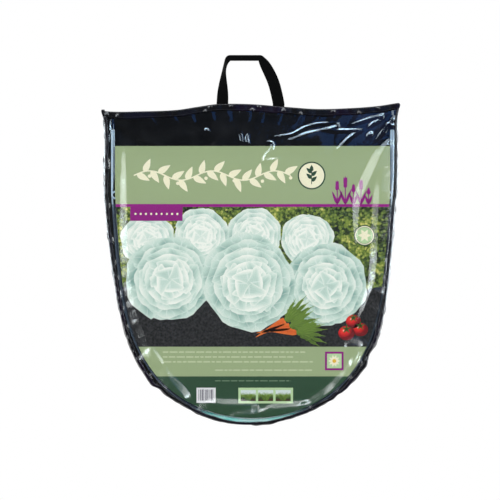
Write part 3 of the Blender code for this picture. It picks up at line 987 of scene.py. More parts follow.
def edge_puckers(x, z, edge, seed):
    """Short gathers that run in from the sewn edge."""
    turn = ripple(np.arctan2(z - edge_pucker_centre_level, x) * 0.5, 0, edge_pucker_turn, seed)
    fade = smooth_step(edge, *edge_pucker_start) * (1 - smooth_step(edge, *edge_pucker_end))
    return edge_pucker_height * np.clip(turn, 0, 1) * fade


def slack(x, z, edge, rows):
    """Soft waves of a panel that grow inwards from its edge."""
    return sum(height * ripple(x * across, z * up, length, seed) * smooth_step(edge, start, end)
               for height, length, across, up, seed, start, end in rows)


def make_window():
    """The clear front: a tight sheet with creases that catch the light."""
    x, z, edge = panel_grid(300, 316)
    out = window_bulge * smooth_step(edge, 0.0, bulge_reach) + slack(x, z, edge, window_slack)
    for values in window_creases:
        out += crease(x, z, *values) * smooth_step(edge, 0.0, window_fade)
    out += edge_puckers(x, z, edge, 13)
    y = np.minimum(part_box("front_window")[1].y - out, -window_rest)
    window = piece("window_skin", grid_points(x, y, z).reshape(-1, 3), grid_faces(*x.shape), clear_vinyl,
                   "bag", "front_window")


def make_back():
    """The black back, slack between its seams, and flat under the handle's ends."""
    x, z, edge = panel_grid(190, 210)
    out = slack(x, z, edge, back_slack)
    for values in back_creases:
        out += crease(x, z, *values) * smooth_step(edge, *back_fade)
    out += edge_puckers(x, z, edge, 23) * back_pucker_share
    out = np.clip(out, -back_sink, back_swell)
    near_ends = 1 - smooth_step(np.minimum(abs(x - left_foot_x), abs(x - right_foot_x)), *flat_reach)
    near_ends = near_ends * smooth_step(z, *flat_levels)
    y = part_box("back_panel")[1].y + np.where(out > 0, out * (1 - near_ends), out)
    back = vinyl_sheet("back_skin", grid_points(x, y, z)[:, ::-1], np.array([0.0, -1.0, 0.0]), "back_panel")


# The hems, with small dents where the front one is pinched, in millimetres: x and how far below its top

hem_dents = [(-246, 5), (-228, 7), (-77, 10), (-68, 3), (-33, 4), (4, 10), (15.5, 3), (58, 6), (87, 10),
             (143, 4), (187, 9), (220, 4)]
dent_height = 0.9 * mm
dent_radius = 3.0 * mm
hem_corner = 1.2 * mm
hem_outline_step = 0.9 * mm
hem_end_radius = 5.0 * mm
hem_columns = 520
hem_wander = 0.9 * mm
hem_wander_length = 46.0 * mm
hem_rise = 0.45 * mm
hem_rise_length = 38.0 * mm
back_hem_rise_share = 0.25
ear_middle = hem_height * 0.36
ear_least_share = 0.2
hem_stitch_share = 0.78
hem_stitch_margin = 8
side_hem_steps = 26
side_hem_lap = 0.4 * mm
side_hem_bow = 1.2 * mm
side_hem_share = 0.6
side_hem_out = left_pucker_shares[0][1] * mm * side_hem_share


def make_hem(name, node, seed):
    """A folded hem over the mouth's edge: rounded ears, small dents, and stitches near its lower edge."""
    low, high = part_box(node)
    front = node == "front_hem"
    x = np.linspace(bag_centre_x - hem_end, bag_centre_x + hem_end, hem_columns)
    line = np.stack([x, [hem_level(value) for value in x]], axis=1)
    inward = np.tile([0.0, -1.0], (len(x), 1))
    corners = rounded_profile(hem_height, low.y, high.y, hem_corner)
    base = resample(np.concatenate([corners, corners[:1]]), hem_outline_step)[0][:-1]
    edge = hem_wander * ripple(x, 0, hem_wander_length, seed + 1)
    depth = base[None, :, 0] + edge[:, None] * np.clip(base[None, :, 0] / hem_height * 2 - 1, 0, 1)
    to_end = np.clip(np.minimum(x - x[0], x[-1] - x) / hem_end_radius, 0, 1)
    round_share = np.sqrt(1 - (1 - to_end) ** 2)
    size = ear_least_share + (1 - ear_least_share) * round_share[:, None]
    depth = ear_middle + (depth - ear_middle) * size
    rise = np.abs(hem_rise * ripple(x, 0, hem_rise_length, seed))
    rise = np.repeat(rise[:, None], len(base), axis=1)
    for dent_x, below in hem_dents if front else []:
        away = np.hypot(x[:, None] - dent_x * mm, depth - below * mm)
        rise += dent_height * np.exp(-(away / dent_radius) ** 2)
    outside = (base[None, :, 1] < (low.y + high.y) / 2) == front
    level = base[None, :, 1] + np.where(outside, (-1 if front else back_hem_rise_share) * rise, 0)
    tube_piece(name, swept(line, inward, depth, level), binding_vinyl, "bag", node)
    face = low.y if front else high.y
    column = int(np.argmin(np.hypot(base[:, 0] - hem_height * hem_stitch_share, base[:, 1] - face)))
    inner = slice(hem_stitch_margin, -hem_stitch_margin)
    stitch_line = (line + inward * depth[:, column, None])[inner]
    make_stitches(name + "_stitches", stitch_line, level[inner, column], -1 if front else 1)


def make_side_hem(name, node, sign):
    """The short hem over the gusset's top edge, rounded between the front and back hems."""
    low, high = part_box(node)
    level = np.linspace(low.y - side_hem_lap, high.y + side_hem_lap, side_hem_steps)[:, None]
    bow = side_hem_bow * np.sin(np.linspace(0, math.pi, side_hem_steps))[:, None]
    base = rounded_profile(high.z - low.z, low.x, high.x, seam_corner)
    rings = grid_points(base[:, 1] + sign * (side_hem_out + bow), level, high.z - base[:, 0])
    tube_piece(name, rings, binding_vinyl, "bag", node)


# The handle

handle_step = 1.2 * mm
share_scale = 0.02
handle_sides = 40
square_power = 0.28
grip_crease = 0.45 * mm
grip_crease_place = 0.1
grip_crease_spread = 0.13
flat_face_share = 0.6
edge_rib = 0.12 * mm
edge_rib_count = 8
end_rows = 34
end_least_share = 0.6
end_round = 1.0 * mm
end_stitch_inset = 3.0 * mm
end_stitch_step = 0.7 * mm
fold_rows = 18
fold_reach = 2.4 * mm
fold_proud = 0.12 * mm

# The legs as shares: across from grip to foot, up from foot to grip, of the full width, of the full roll
left_leg_shares = [
    (1.0, 0.0, 1.0, 0.0), (0.96, 0.15, 1.0, 0.12), (0.92, 0.35, 0.85, 0.4),
    (0.86, 0.55, 0.6, 0.7), (0.74, 0.75, 0.3, 1.0), (0.45, 0.9, 0.1, 0.9), (0.2, 0.97, 0.0, 0.4),
]
right_leg_shares = [
    (0.0, 1.0, 0.0, 0.0), (0.07, 0.95, 0.35, 0.0), (0.22, 0.86, 0.75, 0.0), (0.45, 0.7, 0.95, 0.0),
    (0.72, 0.47, 1.0, 0.0), (0.9, 0.2, 1.0, 0.0), (1.0, 0.0, 1.0, 0.0),
]


def handle_stations():
    """The handle's route: x, z, width share and roll share, from the left foot to the right."""
    foot_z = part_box("handle_loop")[0].z
    grip_z = grip_width / 2 + grip_lift
    height = grip_z - foot_z
    left_bow = left_foot_x - grip_left_x
    right_bow = right_foot_x - grip_right_x
    route = [(grip_left_x + left_bow * x, foot_z + height * z, w, r) for x, z, w, r in left_leg_shares]
    for x in (grip_left_x, grip_left_x + grip_corner, grip_right_x - grip_corner):
        route.append((x, grip_z, 0.0, 0.0))
    route += [(grip_right_x + right_bow * x, foot_z + height * z, w, r) for x, z, w, r in right_leg_shares]
    return np.array(route)


def make_handle():
    """The webbing loop, twisted in its left leg and folded double along its grip."""
    weights = np.array([1, 1, share_scale, share_scale])
    route = resample(rounded_curve(handle_stations(), 3) * weights, handle_step)[0] / weights
    travel = directions(route[:, :2])
    travel[0] = (0, 1)
    travel[-1] = (0, -1)
    width_share = np.clip(route[:, 2], 0, 1)
    roll = grip_twist * route[:, 3]
    half_width = (grip_width + (webbing_width - grip_width) * width_share) / 2
    half_depth = (grip_thickness + (webbing_thickness - grip_thickness) * width_share) / 2
    reach = half_width * np.sin(roll) + half_depth * np.cos(roll)
    middle_y = np.maximum(reach - twist_front_reach, 0)
    turns = turns_of(handle_sides)
    side = (np.sign(np.cos(turns)) * np.abs(np.cos(turns)) ** square_power)[None, :]
    face = (np.sign(np.sin(turns)) * np.abs(np.sin(turns)) ** square_power)[None, :]
    fold = (1 - width_share)[:, None] * grip_crease
    fold = fold * np.exp(-((side - grip_crease_place) / grip_crease_spread) ** 2)
    ribs = edge_rib * np.cos(side * edge_rib_count * math.pi)
    across = half_width[:, None] * side
    through = (half_depth[:, None] - ribs * 0.5) * face
    through = through - np.sign(face) * fold * (np.abs(face) > flat_face_share)
    flat = grid_points(-travel[:, 1], 0.0, travel[:, 0])
    back = np.array([0.0, 1.0, 0.0])
    cos_roll, sin_roll = np.cos(roll)[:, None], np.sin(roll)[:, None]
    wide = flat * cos_roll + back * sin_roll
    deep = back * cos_roll - flat * sin_roll
    centre = grid_points(route[:, 0], middle_y, route[:, 1])
    rings = centre[:, None, :] + wide[:, None, :] * across[..., None] + deep[:, None, :] * through[..., None]
    tube_piece("handle_webbing", rings, webbing, "handle", "handle_loop")


def make_handle_end(name, node):
    """A sewn webbing end with its folded edge and a stitched box and cross."""
    low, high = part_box(node)
    level = np.linspace(high.z, low.z, end_rows)[:, None]
    base = rounded_profile(high.x - low.x, low.y, high.y, webbing_corner)
    ends = np.minimum(smooth_step(high.z - level, -end_round, end_round),
                      smooth_step(level - low.z, -end_round, end_round))
    thickness = base[:, 1] * (end_least_share + (1 - end_least_share) * ends)
    tube_piece(name, grid_points(low.x + base[:, 0], thickness, level), webbing, "bag", node)
    left, right, bottom = low.x + end_stitch_inset, high.x - end_stitch_inset, low.z + end_stitch_inset
    top = bottom + (right - left)
    paths = [[(left, bottom), (right, bottom), (right, top), (left, top), (left, bottom)],
             [(left, bottom), (right, top)], [(left, top), (right, bottom)]]
    for index, path in enumerate(paths):
        line = resample(path, end_stitch_step)[0]
        make_stitches(f"{name}_stitches_{index + 1}", line, np.full(len(line), high.y), 1)


def make_handle_fold(name, node, lean):
    """The short stretch of webbing that bends between the loop and its sewn end."""
    low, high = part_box(node)
    level = np.linspace(high.z - fold_reach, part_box("handle_loop")[0].z + fold_reach, fold_rows)
    base = rounded_profile(high.x - low.x + fold_proud * 2, low.y - fold_proud, high.y + fold_proud,
                           webbing_corner)
    x = low.x - fold_proud + base[None, :, 0] + lean * np.clip(level - high.z, 0, None)[:, None]
    fold = tube_piece(name, grid_points(x, base[:, 1], level[:, None]), webbing, None)
    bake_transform(fold)


# The hoops and their casings

# How far each hoop's legs lean inwards, so that those behind show beside the first one
left_lean_shares = [0.0, 0.9, 0.35, 1.0, 0.2, 0.6]
right_lean_shares = [-0.7, 0.25, -0.2, 0.5, -0.45, 0.1]
leg_lean = 3.2 * mm
lean_reach_share = 0.35
wire_sides = 12
wire_tip_share = 0.7
leg_steps = 12
coil_steps = 28
arch_step = 4.0 * mm
casing_step = 2.6 * mm
casing_sides = 18
casing_size_share = 0.98
casing_flat_share = 0.92
gather_share = 0.08
gather_length = 9.0 * mm
gather_slant = 2.0 * mm
allowance_power = 9
allowance_wave_share = 0.12
allowance_wave_length = 15.0 * mm


def hoop_leg(number, sign):
    """The middle line of one leg from its tip down, and of the coil at its foot."""
    leg_y = first_arch_y + hoop_pitch * number - coil_shift
    lean = leg_lean * (left_lean_shares if sign < 0 else right_lean_shares)[number]
    x = tunnel_centre_x + sign * hoop_half_width
    share = np.arange(leg_steps) / leg_steps
    leg = grid_points(x - sign * lean * smooth_step(1 - share, 0.0, lean_reach_share), leg_y,
                      leg_tip_level + (shoulder_level - leg_tip_level) * share)
    steps = np.arange(coil_steps + 1)
    angle = 2 * math.pi * steps / coil_steps
    coil = grid_points(x - sign * eyelet_radius + sign * eyelet_radius * np.cos(angle),
                       leg_y + coil_shift * steps / coil_steps,
                       shoulder_level - eyelet_radius * np.sin(angle))
    return np.concatenate([leg, coil])


def make_hoop(number):
    """A hoop's wire: leg, coil, arch, coil and leg."""
    arch = arch_line(eyelet_radius, arch_step)[0]
    middle = grid_points(arch[:, 0], first_arch_y + hoop_pitch * number, arch[:, 1])
    points = np.concatenate([hoop_leg(number, -1), middle, hoop_leg(number, 1)[::-1]])
    radius = np.full(len(points), wire_radius)
    radius[[0, -1]] *= wire_tip_share
    tube_piece(f"hoop_wire_{number + 1}", round_rings(points, radius, wire_sides), wire, "tunnel",
               f"hoop_{number + 1}")


def make_casing(number):
    """The sewn channel of mesh on a hoop's arch, with its seam allowance on the inside."""
    line, inward, places = arch_line(casing_start, casing_step)
    turns = turns_of(casing_sides)[None, :]
    gather = gather_share * ripple(places[:, None], turns * gather_slant, gather_length, 40 + number)
    gather += casing_size_share
    depth = np.maximum(casing_radius * gather * np.cos(turns), -wire_radius - casing_pressed)
    allowance = casing_allowance * np.clip(np.cos(turns), 0, 1) ** allowance_power
    waves = 1 + allowance_wave_share * ripple(places, 0, allowance_wave_length, 60 + number)
    depth = depth + allowance * waves[:, None]
    level = casing_radius * casing_flat_share * gather * np.sin(turns)
    level += first_arch_y + hoop_pitch * number
    tube_piece(f"casing_sleeve_{number + 1}", swept(line, inward, depth, level), casing_fabric, "tunnel",
               f"casing_{number + 1}")


# The folded mesh cover

net_columns = 660
net_rows = 15
net_edge_wave = 1.2 * mm
net_edge_length = 60 * mm
net_least_height = 0.2 * mm
net_swell_reach = (-4 * mm, 26 * mm)
net_wander = 2.2
net_wander_length = 90 * mm
pleat_size_change = 0.28
pleat_size_length = 45 * mm
net_spread_reach = 12 * mm
net_top_spread_share = 0.35


def make_net(name, node, net_y, pleat, seed):
    """A bay of mesh folded back on itself: up from one hoop, over, and down to the next, in pleats."""
    pleat_length, pleat_depth, layer_offset = pleat
    side = np.array(u_side(hoop_half_width - casing_allowance, hoop_bottom_level + casing_allowance,
                           bag_bottom_power, shoulder_level - casing_start))
    top_x = float(np.interp(-net_top_level, -side[:, 1], side[:, 0]))
    x = np.linspace(-top_x, top_x, net_columns)
    low = np.interp(np.abs(x), side[::-1, 0], side[::-1, 1])
    share = x / hoop_half_width
    top = net_top_level - net_sag * (1 - share * share) + net_edge_wave * ripple(x, 0, net_edge_length, seed)
    top = np.maximum(top, low + net_least_height)
    up = np.linspace(0, 1, net_rows)
    lift = np.concatenate([up, up[::-1]])[:, None]
    layer = np.repeat([-1.0, 1.0], net_rows)[:, None]
    z = low + (top - low) * lift
    swell = smooth_step(z - low, *net_swell_reach)
    wander = net_wander * ripple(x, z * 0.5, net_wander_length, seed + 1)
    size = 1 - pleat_size_change + pleat_size_change * ripple(x, z * 0.4, pleat_size_length, seed + 2)
    pleats = pleat_depth * swell * size * np.sin(2 * math.pi * x / pleat_length + wander)
    apart = smooth_step(top - z, 0.0, net_spread_reach)
    spread = layer * layer_offset * (net_top_spread_share + (1 - net_top_spread_share) * apart)
    points = grid_points(tunnel_centre_x + x, net_y + spread + pleats, z)
    net = piece(name, points.reshape(-1, 3), grid_faces(2 * net_rows, net_columns), net_fabric,
                "tunnel", node)


def make_tunnel():
    for number in range(hoop_count):
        make_hoop(number)
        make_casing(number)
    for number in range(hoop_count - 1):
        make_net(f"cover_folds_{number + 1}", f"cover_bay_{number + 1}",
                 first_arch_y + hoop_pitch * (number + 0.5), bay_pleat, 100 + 7 * number)
    make_net("end_folds_front", "end_net_front", first_arch_y - hoop_pitch / 2, end_pleat, 200)
    make_net("end_folds_back", "end_net_back", first_arch_y + hoop_pitch * (hoop_count - 0.5), end_pleat,
             210)


make_window()
make_back()
make_gusset()
make_bound_seam("front_seam", "front_binding", 31)
make_bound_seam("back_seam", "back_binding", 35)
make_hem("front_mouth_hem", "front_hem", 41)
make_hem("back_mouth_hem", "back_hem", 45)
make_side_hem("left_mouth_hem", "side_hem_left", -1)
make_side_hem("right_mouth_hem", "side_hem_right", 1)
make_handle()
make_handle_end("left_handle_end", "handle_end_left")
make_handle_end("right_handle_end", "handle_end_right")
make_handle_fold("left_handle_fold", "handle_end_left", 0.04)
make_handle_fold("right_handle_fold", "handle_end_right", -0.18)
make_tunnel()


# The card and its print

card_header_bottom = -246.0 * mm
line_bottom = -251.0 * mm
picture_bottom = -491.5 * mm
band_bottom = -542.5 * mm
soil_top = -372.0 * mm
card_step = 3.0 * mm
print_step = 0.028 * mm
print_roughness = 0.42
print_gloss_share = 0.12

sage = color_of(158, 175, 132)
magenta = color_of(148, 16, 130)
dark_green = color_of(44, 77, 53)
cream = color_of(252, 247, 216)


def make_card_board():
    """The card, coloured in plain bands, with a garden hedge and soil in the middle one."""
    paint = Paint("card_board")
    z = paint.axis("Z")
    cells = paint.add("TexVoronoi", "Color", {"Vector": paint.place(), "Scale": 250.0})
    clumps = paint.times(paint.noise(30.0, 4.0), 0.84)
    leaf_tone = paint.plus(paint.times(paint.axis("X", cells), 0.32), clumps)
    leaf_tone = paint.minus(leaf_tone, paint.times(cells.node.outputs["Distance"], 0.2))
    hedge = paint.ramp(leaf_tone, (0.22, (18, 24, 14)), (0.36, (46, 62, 26)), (0.48, (88, 112, 44)),
                       (0.62, (134, 152, 60)), (0.78, (218, 210, 116)))
    soil = paint.ramp(paint.noise(260.0, 6.0), (0.35, (19, 20, 22)), (0.7, (52, 52, 54)))
    edge_wobble = paint.times(paint.noise(30.0), 30.0 * mm)
    front = dark_green
    for level, color in (
            (band_bottom, sage),
            (picture_bottom, paint.mix(paint.over(paint.plus(z, edge_wobble), soil_top), soil, hedge)),
            (line_bottom, magenta),
            (card_header_bottom, sage)):
        front = paint.mix(paint.over(z, level), front, color)
    facing_front = paint.math("LESS_THAN", paint.axis("Y"), card_front + 0.1 * mm)
    fibres = paint.noise(900.0)
    board = paint.ramp(fibres, (0.3, (196, 192, 182)), (0.7, (222, 219, 210)))
    paint.shade({
        "Base Color": paint.mix(facing_front, board, front),
        "Roughness": print_roughness,
        "Specular IOR Level": print_gloss_share,
        "Normal": paint.bump(fibres, 0.03 * mm, 0.5),
    })
    return paint.material


def make_card():
    line = u_line(card_centre_x, card_half_width, card_low.z, card_bottom_power,
                  (card_high.z, card_high.z), card_step)[0]
    back, front = [grid_points(line[:, 0], y, line[:, 1]) for y in (card_high.y, card_front)]
    count = len(line)
    faces = [list(range(count)), [count + k for k in range(count)][::-1]]
    for k in range(count):
        after = (k + 1) % count
        faces.append((k, count + k, count + after, after))
    piece("card_board", np.concatenate([back, front]), faces, (make_card_board(), "printed_card"), "card",
          "insert_card", smooth=False)


prints = {}


def print_patch(name, points, spots, layer, closed=False, tilt=0.0):
    """Adds a grid of flat print: points in x and z, and a spot vector for the ink's own pattern.

    A tilt lifts one edge and sinks the other by that many layers, so that leaves lie like shingles.
    """
    sheet = prints.setdefault(name, {"verts": [], "faces": [], "spots": []})
    sheet["faces"] += grid_faces(*points.shape[:2], wrap=closed, start=len(sheet["verts"]))
    for (x, z), spot in zip(points.reshape(-1, 2), spots.reshape(-1, 3)):
        sheet["verts"].append((x, card_front - print_step * (layer + tilt * spot[1]), z))
        sheet["spots"].append(tuple(spot))


def print_disc(name, x, z, radius, layer, squeeze=1.0, inner=0.02, sides=40):
    """A disc, or a ring when inner is larger, with its spot measured from its middle."""
    radii = np.linspace(inner, 1.0, 5)[:, None]
    a = radii * np.cos(turns_of(sides))
    b = radii * np.sin(turns_of(sides))
    points = np.stack([x + radius * a, z + radius * squeeze * b], axis=2)
    print_patch(name, points, grid_points(a, b, 0.0), layer, closed=True)


def print_bar(name, left, right, bottom, top, layer, tint=0.0):
    points = np.array([[(left, bottom), (right, bottom)], [(left, top), (right, top)]])
    sides = np.array([-1.0, 1.0])
    print_patch(name, points, grid_points(sides, sides[:, None], tint), layer)


def print_square(name, x, z, half, layer):
    print_bar(name, x - half, x + half, z - half, z + half, layer)


def print_leaf(name, x, z, length, width, angle, layer, tint=0.5, ruffle=0.0, seed=0, bluntness=0.62,
               tilt=0.0):
    """A leaf from its foot at x and z, pointing along the angle."""
    rows, columns = (19, 11) if ruffle else (11, 7)
    along = np.linspace(0.0, 1.0, rows)[:, None]
    across = np.linspace(-1, 1, columns)[None, :]
    half = width / 2 * np.sin(math.pi * np.clip(along, 0.015, 0.985) ** bluntness) ** 0.8
    u = length * along * (1 + ruffle * 0.3 * np.abs(across) * np.sin(along * 19))
    v = half * across * (1 + ruffle * np.abs(across) * np.sin(along * 31 + seed + 2.2 * across))
    dx, dz = math.cos(angle), math.sin(angle)
    points = np.stack([x + dx * u - dz * v, z + dz * u + dx * v], axis=2)
    print_patch(name, points, grid_points(along, across, tint), layer, tilt=tilt)


def print_leaves(name, x, z, length, width, angles, layer, layer_step=0.0):
    """Leaves from one foot, each a step in front of the one before it."""
    for leaf, angle in enumerate(angles):
        print_leaf(name, x, z, length, width, angle * degree, layer + layer_step * leaf)


def print_ribbon(name, line, width, layer):
    """A thin printed line along points in x and z."""
    travel = directions(line)
    side = np.stack([-travel[:, 1], travel[:, 0]], axis=1) * width / 2
    along = np.linspace(0, 1, len(line))[:, None]
    print_patch(name, np.stack([line - side, line + side], axis=1),
                grid_points(along, np.array([-1.0, 1.0]), 0.0), layer)


# A cabbage's rings of leaves from outside in: how many, how long as a share, and how pale
cabbage_rings = [(8, 1.0, 0.0), (8, 0.86, 0.14), (7, 0.71, 0.3), (6, 0.56, 0.48), (5, 0.42, 0.66),
                 (4, 0.3, 0.8)]
cabbage_ring_layers = 1.25
cabbage_foot_share = 0.08


def print_cabbage(x, z, radius, layer, seed, paleness):
    """A cabbage seen from in front: ring upon ring of broad leaves, smaller and paler inwards."""
    generator = np.random.default_rng(seed)
    foot = radius * cabbage_foot_share
    for ring, (count, reach, tint) in enumerate(cabbage_rings):
        turn = generator.uniform(0, 2 * math.pi)
        for leaf in range(count):
            angle = turn + 2 * math.pi * leaf / count + generator.uniform(-0.1, 0.1)
            length = radius * reach * generator.uniform(0.92, 1.05)
            shade = tint + paleness + generator.uniform(-0.12, 0.12)
            width = length * 8.4 / count * generator.uniform(1.0, 1.15)
            print_leaf("cabbage", x - foot * math.cos(angle), z - foot * math.sin(angle), length + foot,
                       width, angle, layer + ring * cabbage_ring_layers, shade,
                       0.045 if ring < 4 else 0.02, seed * 3 + leaf, 2.1, 0.55)


def print_tomato(x, z, radius, layer):
    print_disc("tomato", x, z, radius, layer, squeeze=0.88)
    print_leaves("sprig", x, z + radius * 0.5, radius * 0.6, radius * 0.22, range(90, 450, 72), layer + 0.8)


def print_carrot(x, z, length, width, angle, layer, seed):
    """A carrot from its crown at x and z, with a feathery top behind it."""
    generator = np.random.default_rng(seed)
    print_leaf("carrot", x, z, length, width, angle, layer, bluntness=0.3)
    for leaf in range(6):
        turn = angle + math.pi + (leaf - 2.5) * 0.22 + generator.uniform(-0.06, 0.06)
        print_leaf("greens", x, z, length * generator.uniform(0.7, 1.0), width * 0.62, turn,
                   layer + 0.1 + 0.12 * leaf, 0.3 + 0.12 * leaf, 0.3, seed + leaf)


# The header's garland, its round label, and its tulips as x and height in millimetres

garland_left = -200 * mm
garland_right = 70 * mm
garland_level = -197 * mm
garland_swing = 8 * mm
garland_steps = 90
garland_leaves = 22
label_x = 106 * mm
label_z = -197 * mm
label_radius = 24 * mm
tulips = [(150, 40), (164, 47), (178, 34), (191, 42), (204, 28)]


def print_garland():
    x = np.linspace(garland_left, garland_right, garland_steps)
    share = (x - garland_left) / (garland_right - garland_left)
    z = garland_level + garland_swing * np.sin(share * 5 * math.pi)
    print_ribbon("cream", np.stack([x, z], axis=1), 2.2 * mm, 1)
    for leaf in range(garland_leaves):
        index = int((leaf + 0.5) / garland_leaves * (garland_steps - 1))
        ahead = min(index + 1, garland_steps - 1)
        slope = math.atan2(z[ahead] - z[index - 1], x[ahead] - x[index - 1])
        side = 1 if leaf % 2 else -1
        print_leaf("cream", x[index], z[index], 24 * mm, 11 * mm, slope + side * 52 * degree, 1.4)
        if leaf % 4 == 1:
            print_disc("cream", x[index] + 9 * mm, z[index] - side * 8 * mm, 3.0 * mm, 1.6)


def print_label():
    """A round label with a sprig."""
    print_disc("dark_green", label_x, label_z, label_radius, 1)
    print_disc("cream", label_x, label_z, label_radius * 0.9, 2)
    stem = [(label_x, label_z - label_radius * 0.62), (label_x, label_z + label_radius * 0.35)]
    print_ribbon("dark_green", resample(stem, 3 * mm)[0], 1.4 * mm, 3)
    sprig = ((-0.4, 12, 42), (-0.2, 12, 138), (0.0, 12, 42), (0.2, 12, 138), (0.3, 11, 90))
    for level, length, angle in sprig:
        print_leaf("dark_green", label_x, label_z + label_radius * level, length * mm, 6.5 * mm,
                   angle * degree, 3.3)


def print_tulip(x, z, height):
    print_ribbon("magenta", resample([(x, z), (x, z + height * 0.7)], 3 * mm)[0], 1.9 * mm, 1)
    for side in (-1, 1):
        print_leaf("magenta", x, z, height * 0.6, 5 * mm, (90 + side * 22) * degree, 1.2)
        print_leaf("magenta", x + side * 1.4 * mm, z + height * 0.6, height * 0.4, 6 * mm,
                   (90 + side * 13) * degree, 1.4)
    print_leaf("magenta", x, z + height * 0.6, height * 0.42, 6 * mm, 90 * degree, 1.6)


def print_header():
    """A leafy garland, a round label with a sprig, and a row of tulips on the line."""
    print_garland()
    print_label()
    for tulip_x, height in tulips:
        print_tulip(tulip_x * mm, card_header_bottom, height * mm)


# The bed's plants, in millimetres: cabbages and tomatoes as x, z, radius; carrots as x, z and their turn

back_cabbages = [(-176, -308, 47), (-84, -302, 48), (8, -300, 47), (98, -306, 46)]
front_cabbages = [(-138, -376, 76, 8.2), (130, -386, 72, 8.2), (-2, -382, 84, 15.6)]
carrots = [(60, -446, -150), (68, -456, -168), (80, -466, -183)]
tomatoes = [(166, -468, 14), (190, -462, 13), (178, -448, 13)]
front_layer = 22.9
badge_x = 197 * mm
badge_z = -300 * mm
badge_radius = 18 * mm


def print_picture():
    """A vegetable bed: pale cabbages, with tomatoes and carrots at the lower right, a bar and a badge."""
    for number, (x, z, radius) in enumerate(back_cabbages):
        print_cabbage(x * mm, z * mm, radius * mm, 1.0, 3 + number, 0.42)
    for number, (x, z, radius, layer) in enumerate(front_cabbages):
        print_cabbage(x * mm, z * mm, radius * mm, layer, 23 + number, 0.12)
    for number, (x, z, turn) in enumerate(carrots):
        print_carrot(x * mm, z * mm, 58 * mm, 12 * mm, turn * degree, front_layer, 7 * number)
    for x, z, radius in tomatoes:
        print_tomato(x * mm, z * mm, radius * mm, front_layer)
    print_bar("magenta", -206 * mm, -116 * mm, -275 * mm, line_bottom, 8.2)
    for dot in range(9):
        print_disc("cream", (-197 + 9 * dot) * mm, -263 * mm, 1.8 * mm, 9.2, sides=16)
    print_disc("dark_green", badge_x, badge_z, badge_radius, 1)
    print_disc("cream", badge_x, badge_z, badge_radius * 0.9, 2, inner=0.9)
    print_disc("pale_green", badge_x, badge_z, badge_radius * 0.78, 2)
    print_leaves("cream", badge_x, badge_z, badge_radius * 0.62, 6 * mm, range(0, 360, 60), 3, 0.3)


# The lower bands. Rules stand for small print: left, right, level, height, seed and ink

rules = [(-150, 96, -502.0, 2.6, 70, "rule"), (-150, 74, -510.4, 2.6, 71, "rule"),
         (-150, 108, -518.8, 2.6, 72, "rule"), (-60, 108, -533, 2.4, 80, "rule"),
         (-60, 70, -551, 1.8, 90, "pale_rule")]
frame_x = 145 * mm
frame_z = -516 * mm
frame_half = 16 * mm
daisy_reach = frame_half * 0.78
tiles_left = -20 * mm
tiles_bottom = -589 * mm
stripes_left = -92 * mm
stripes_bottom = -588 * mm


def print_words(left, right, level, height, seed, name):
    """A broken pale rule that stands for a line of small print."""
    generator = np.random.default_rng(seed)
    x = left * mm
    while x < right * mm:
        run = generator.uniform(5, 17) * mm
        print_bar(name, x, min(x + run, right * mm), level * mm, (level + height) * mm, 1)
        x += run + 2.2 * mm


def print_lower_bands():
    """Plain rules in place of lettering, a framed daisy, three garden tiles and a block of stripes."""
    for values in rules[:4]:
        print_words(*values)
    print_square("magenta", frame_x, frame_z, frame_half, 1)
    print_square("pale_green", frame_x, frame_z, daisy_reach, 2)
    print_leaves("cream", frame_x, frame_z, daisy_reach * 0.82, 5 * mm, range(0, 360, 36), 3, 0.3)
    print_disc("yellow", frame_x, frame_z, daisy_reach * 0.26, 7)
    print_words(*rules[4])
    print_bar("pale_green", tiles_left, tiles_left + 94 * mm, tiles_bottom, tiles_bottom + 27 * mm, 1)
    for tile in range(3):
        left = tiles_left + (4 + 30 * tile) * mm
        print_bar("tile", left, left + 26 * mm, tiles_bottom + 4 * mm, tiles_bottom + 23 * mm, 2, tile / 2)
        for angle, tint in ((60, 0.7), (120, 0.4)):
            print_leaf("greens", left + 13 * mm, tiles_bottom + 5 * mm, 13 * mm, 6 * mm, angle * degree,
                       3, tint)
    print_bar("white", stripes_left, stripes_left + 33 * mm, stripes_bottom, stripes_bottom + 26 * mm, 1)
    for stripe in range(10):
        left = stripes_left + (3.5 + 2.7 * stripe) * mm
        print_bar("ash", left, left + (0.9 + 0.5 * (stripe % 3)) * mm, stripes_bottom + 4 * mm,
                  stripes_bottom + 23 * mm, 2)


# The inks

def make_ink(name):
    """An ink's paint, with the gloss of the print."""
    paint = Paint(name + "_ink")
    paint.shade({"Roughness": print_roughness, "Specular IOR Level": print_gloss_share})
    return paint


def spot_axes(paint):
    """The spot of each point of the print, as its outputs u, v and tint."""
    spot = paint.add("Attribute", "Vector", attribute_name="spot")
    return [paint.axis(name, spot) for name in "XYZ"]


def make_plain_ink(name, color):
    """A flat ink with the faint unevenness of a print."""
    paint = make_ink(name)
    darker = tuple(value * 0.88 for value in color[:3]) + (1.0,)
    paint.shade({"Base Color": paint.mix(paint.noise(420.0), darker, color)})
    return paint.material


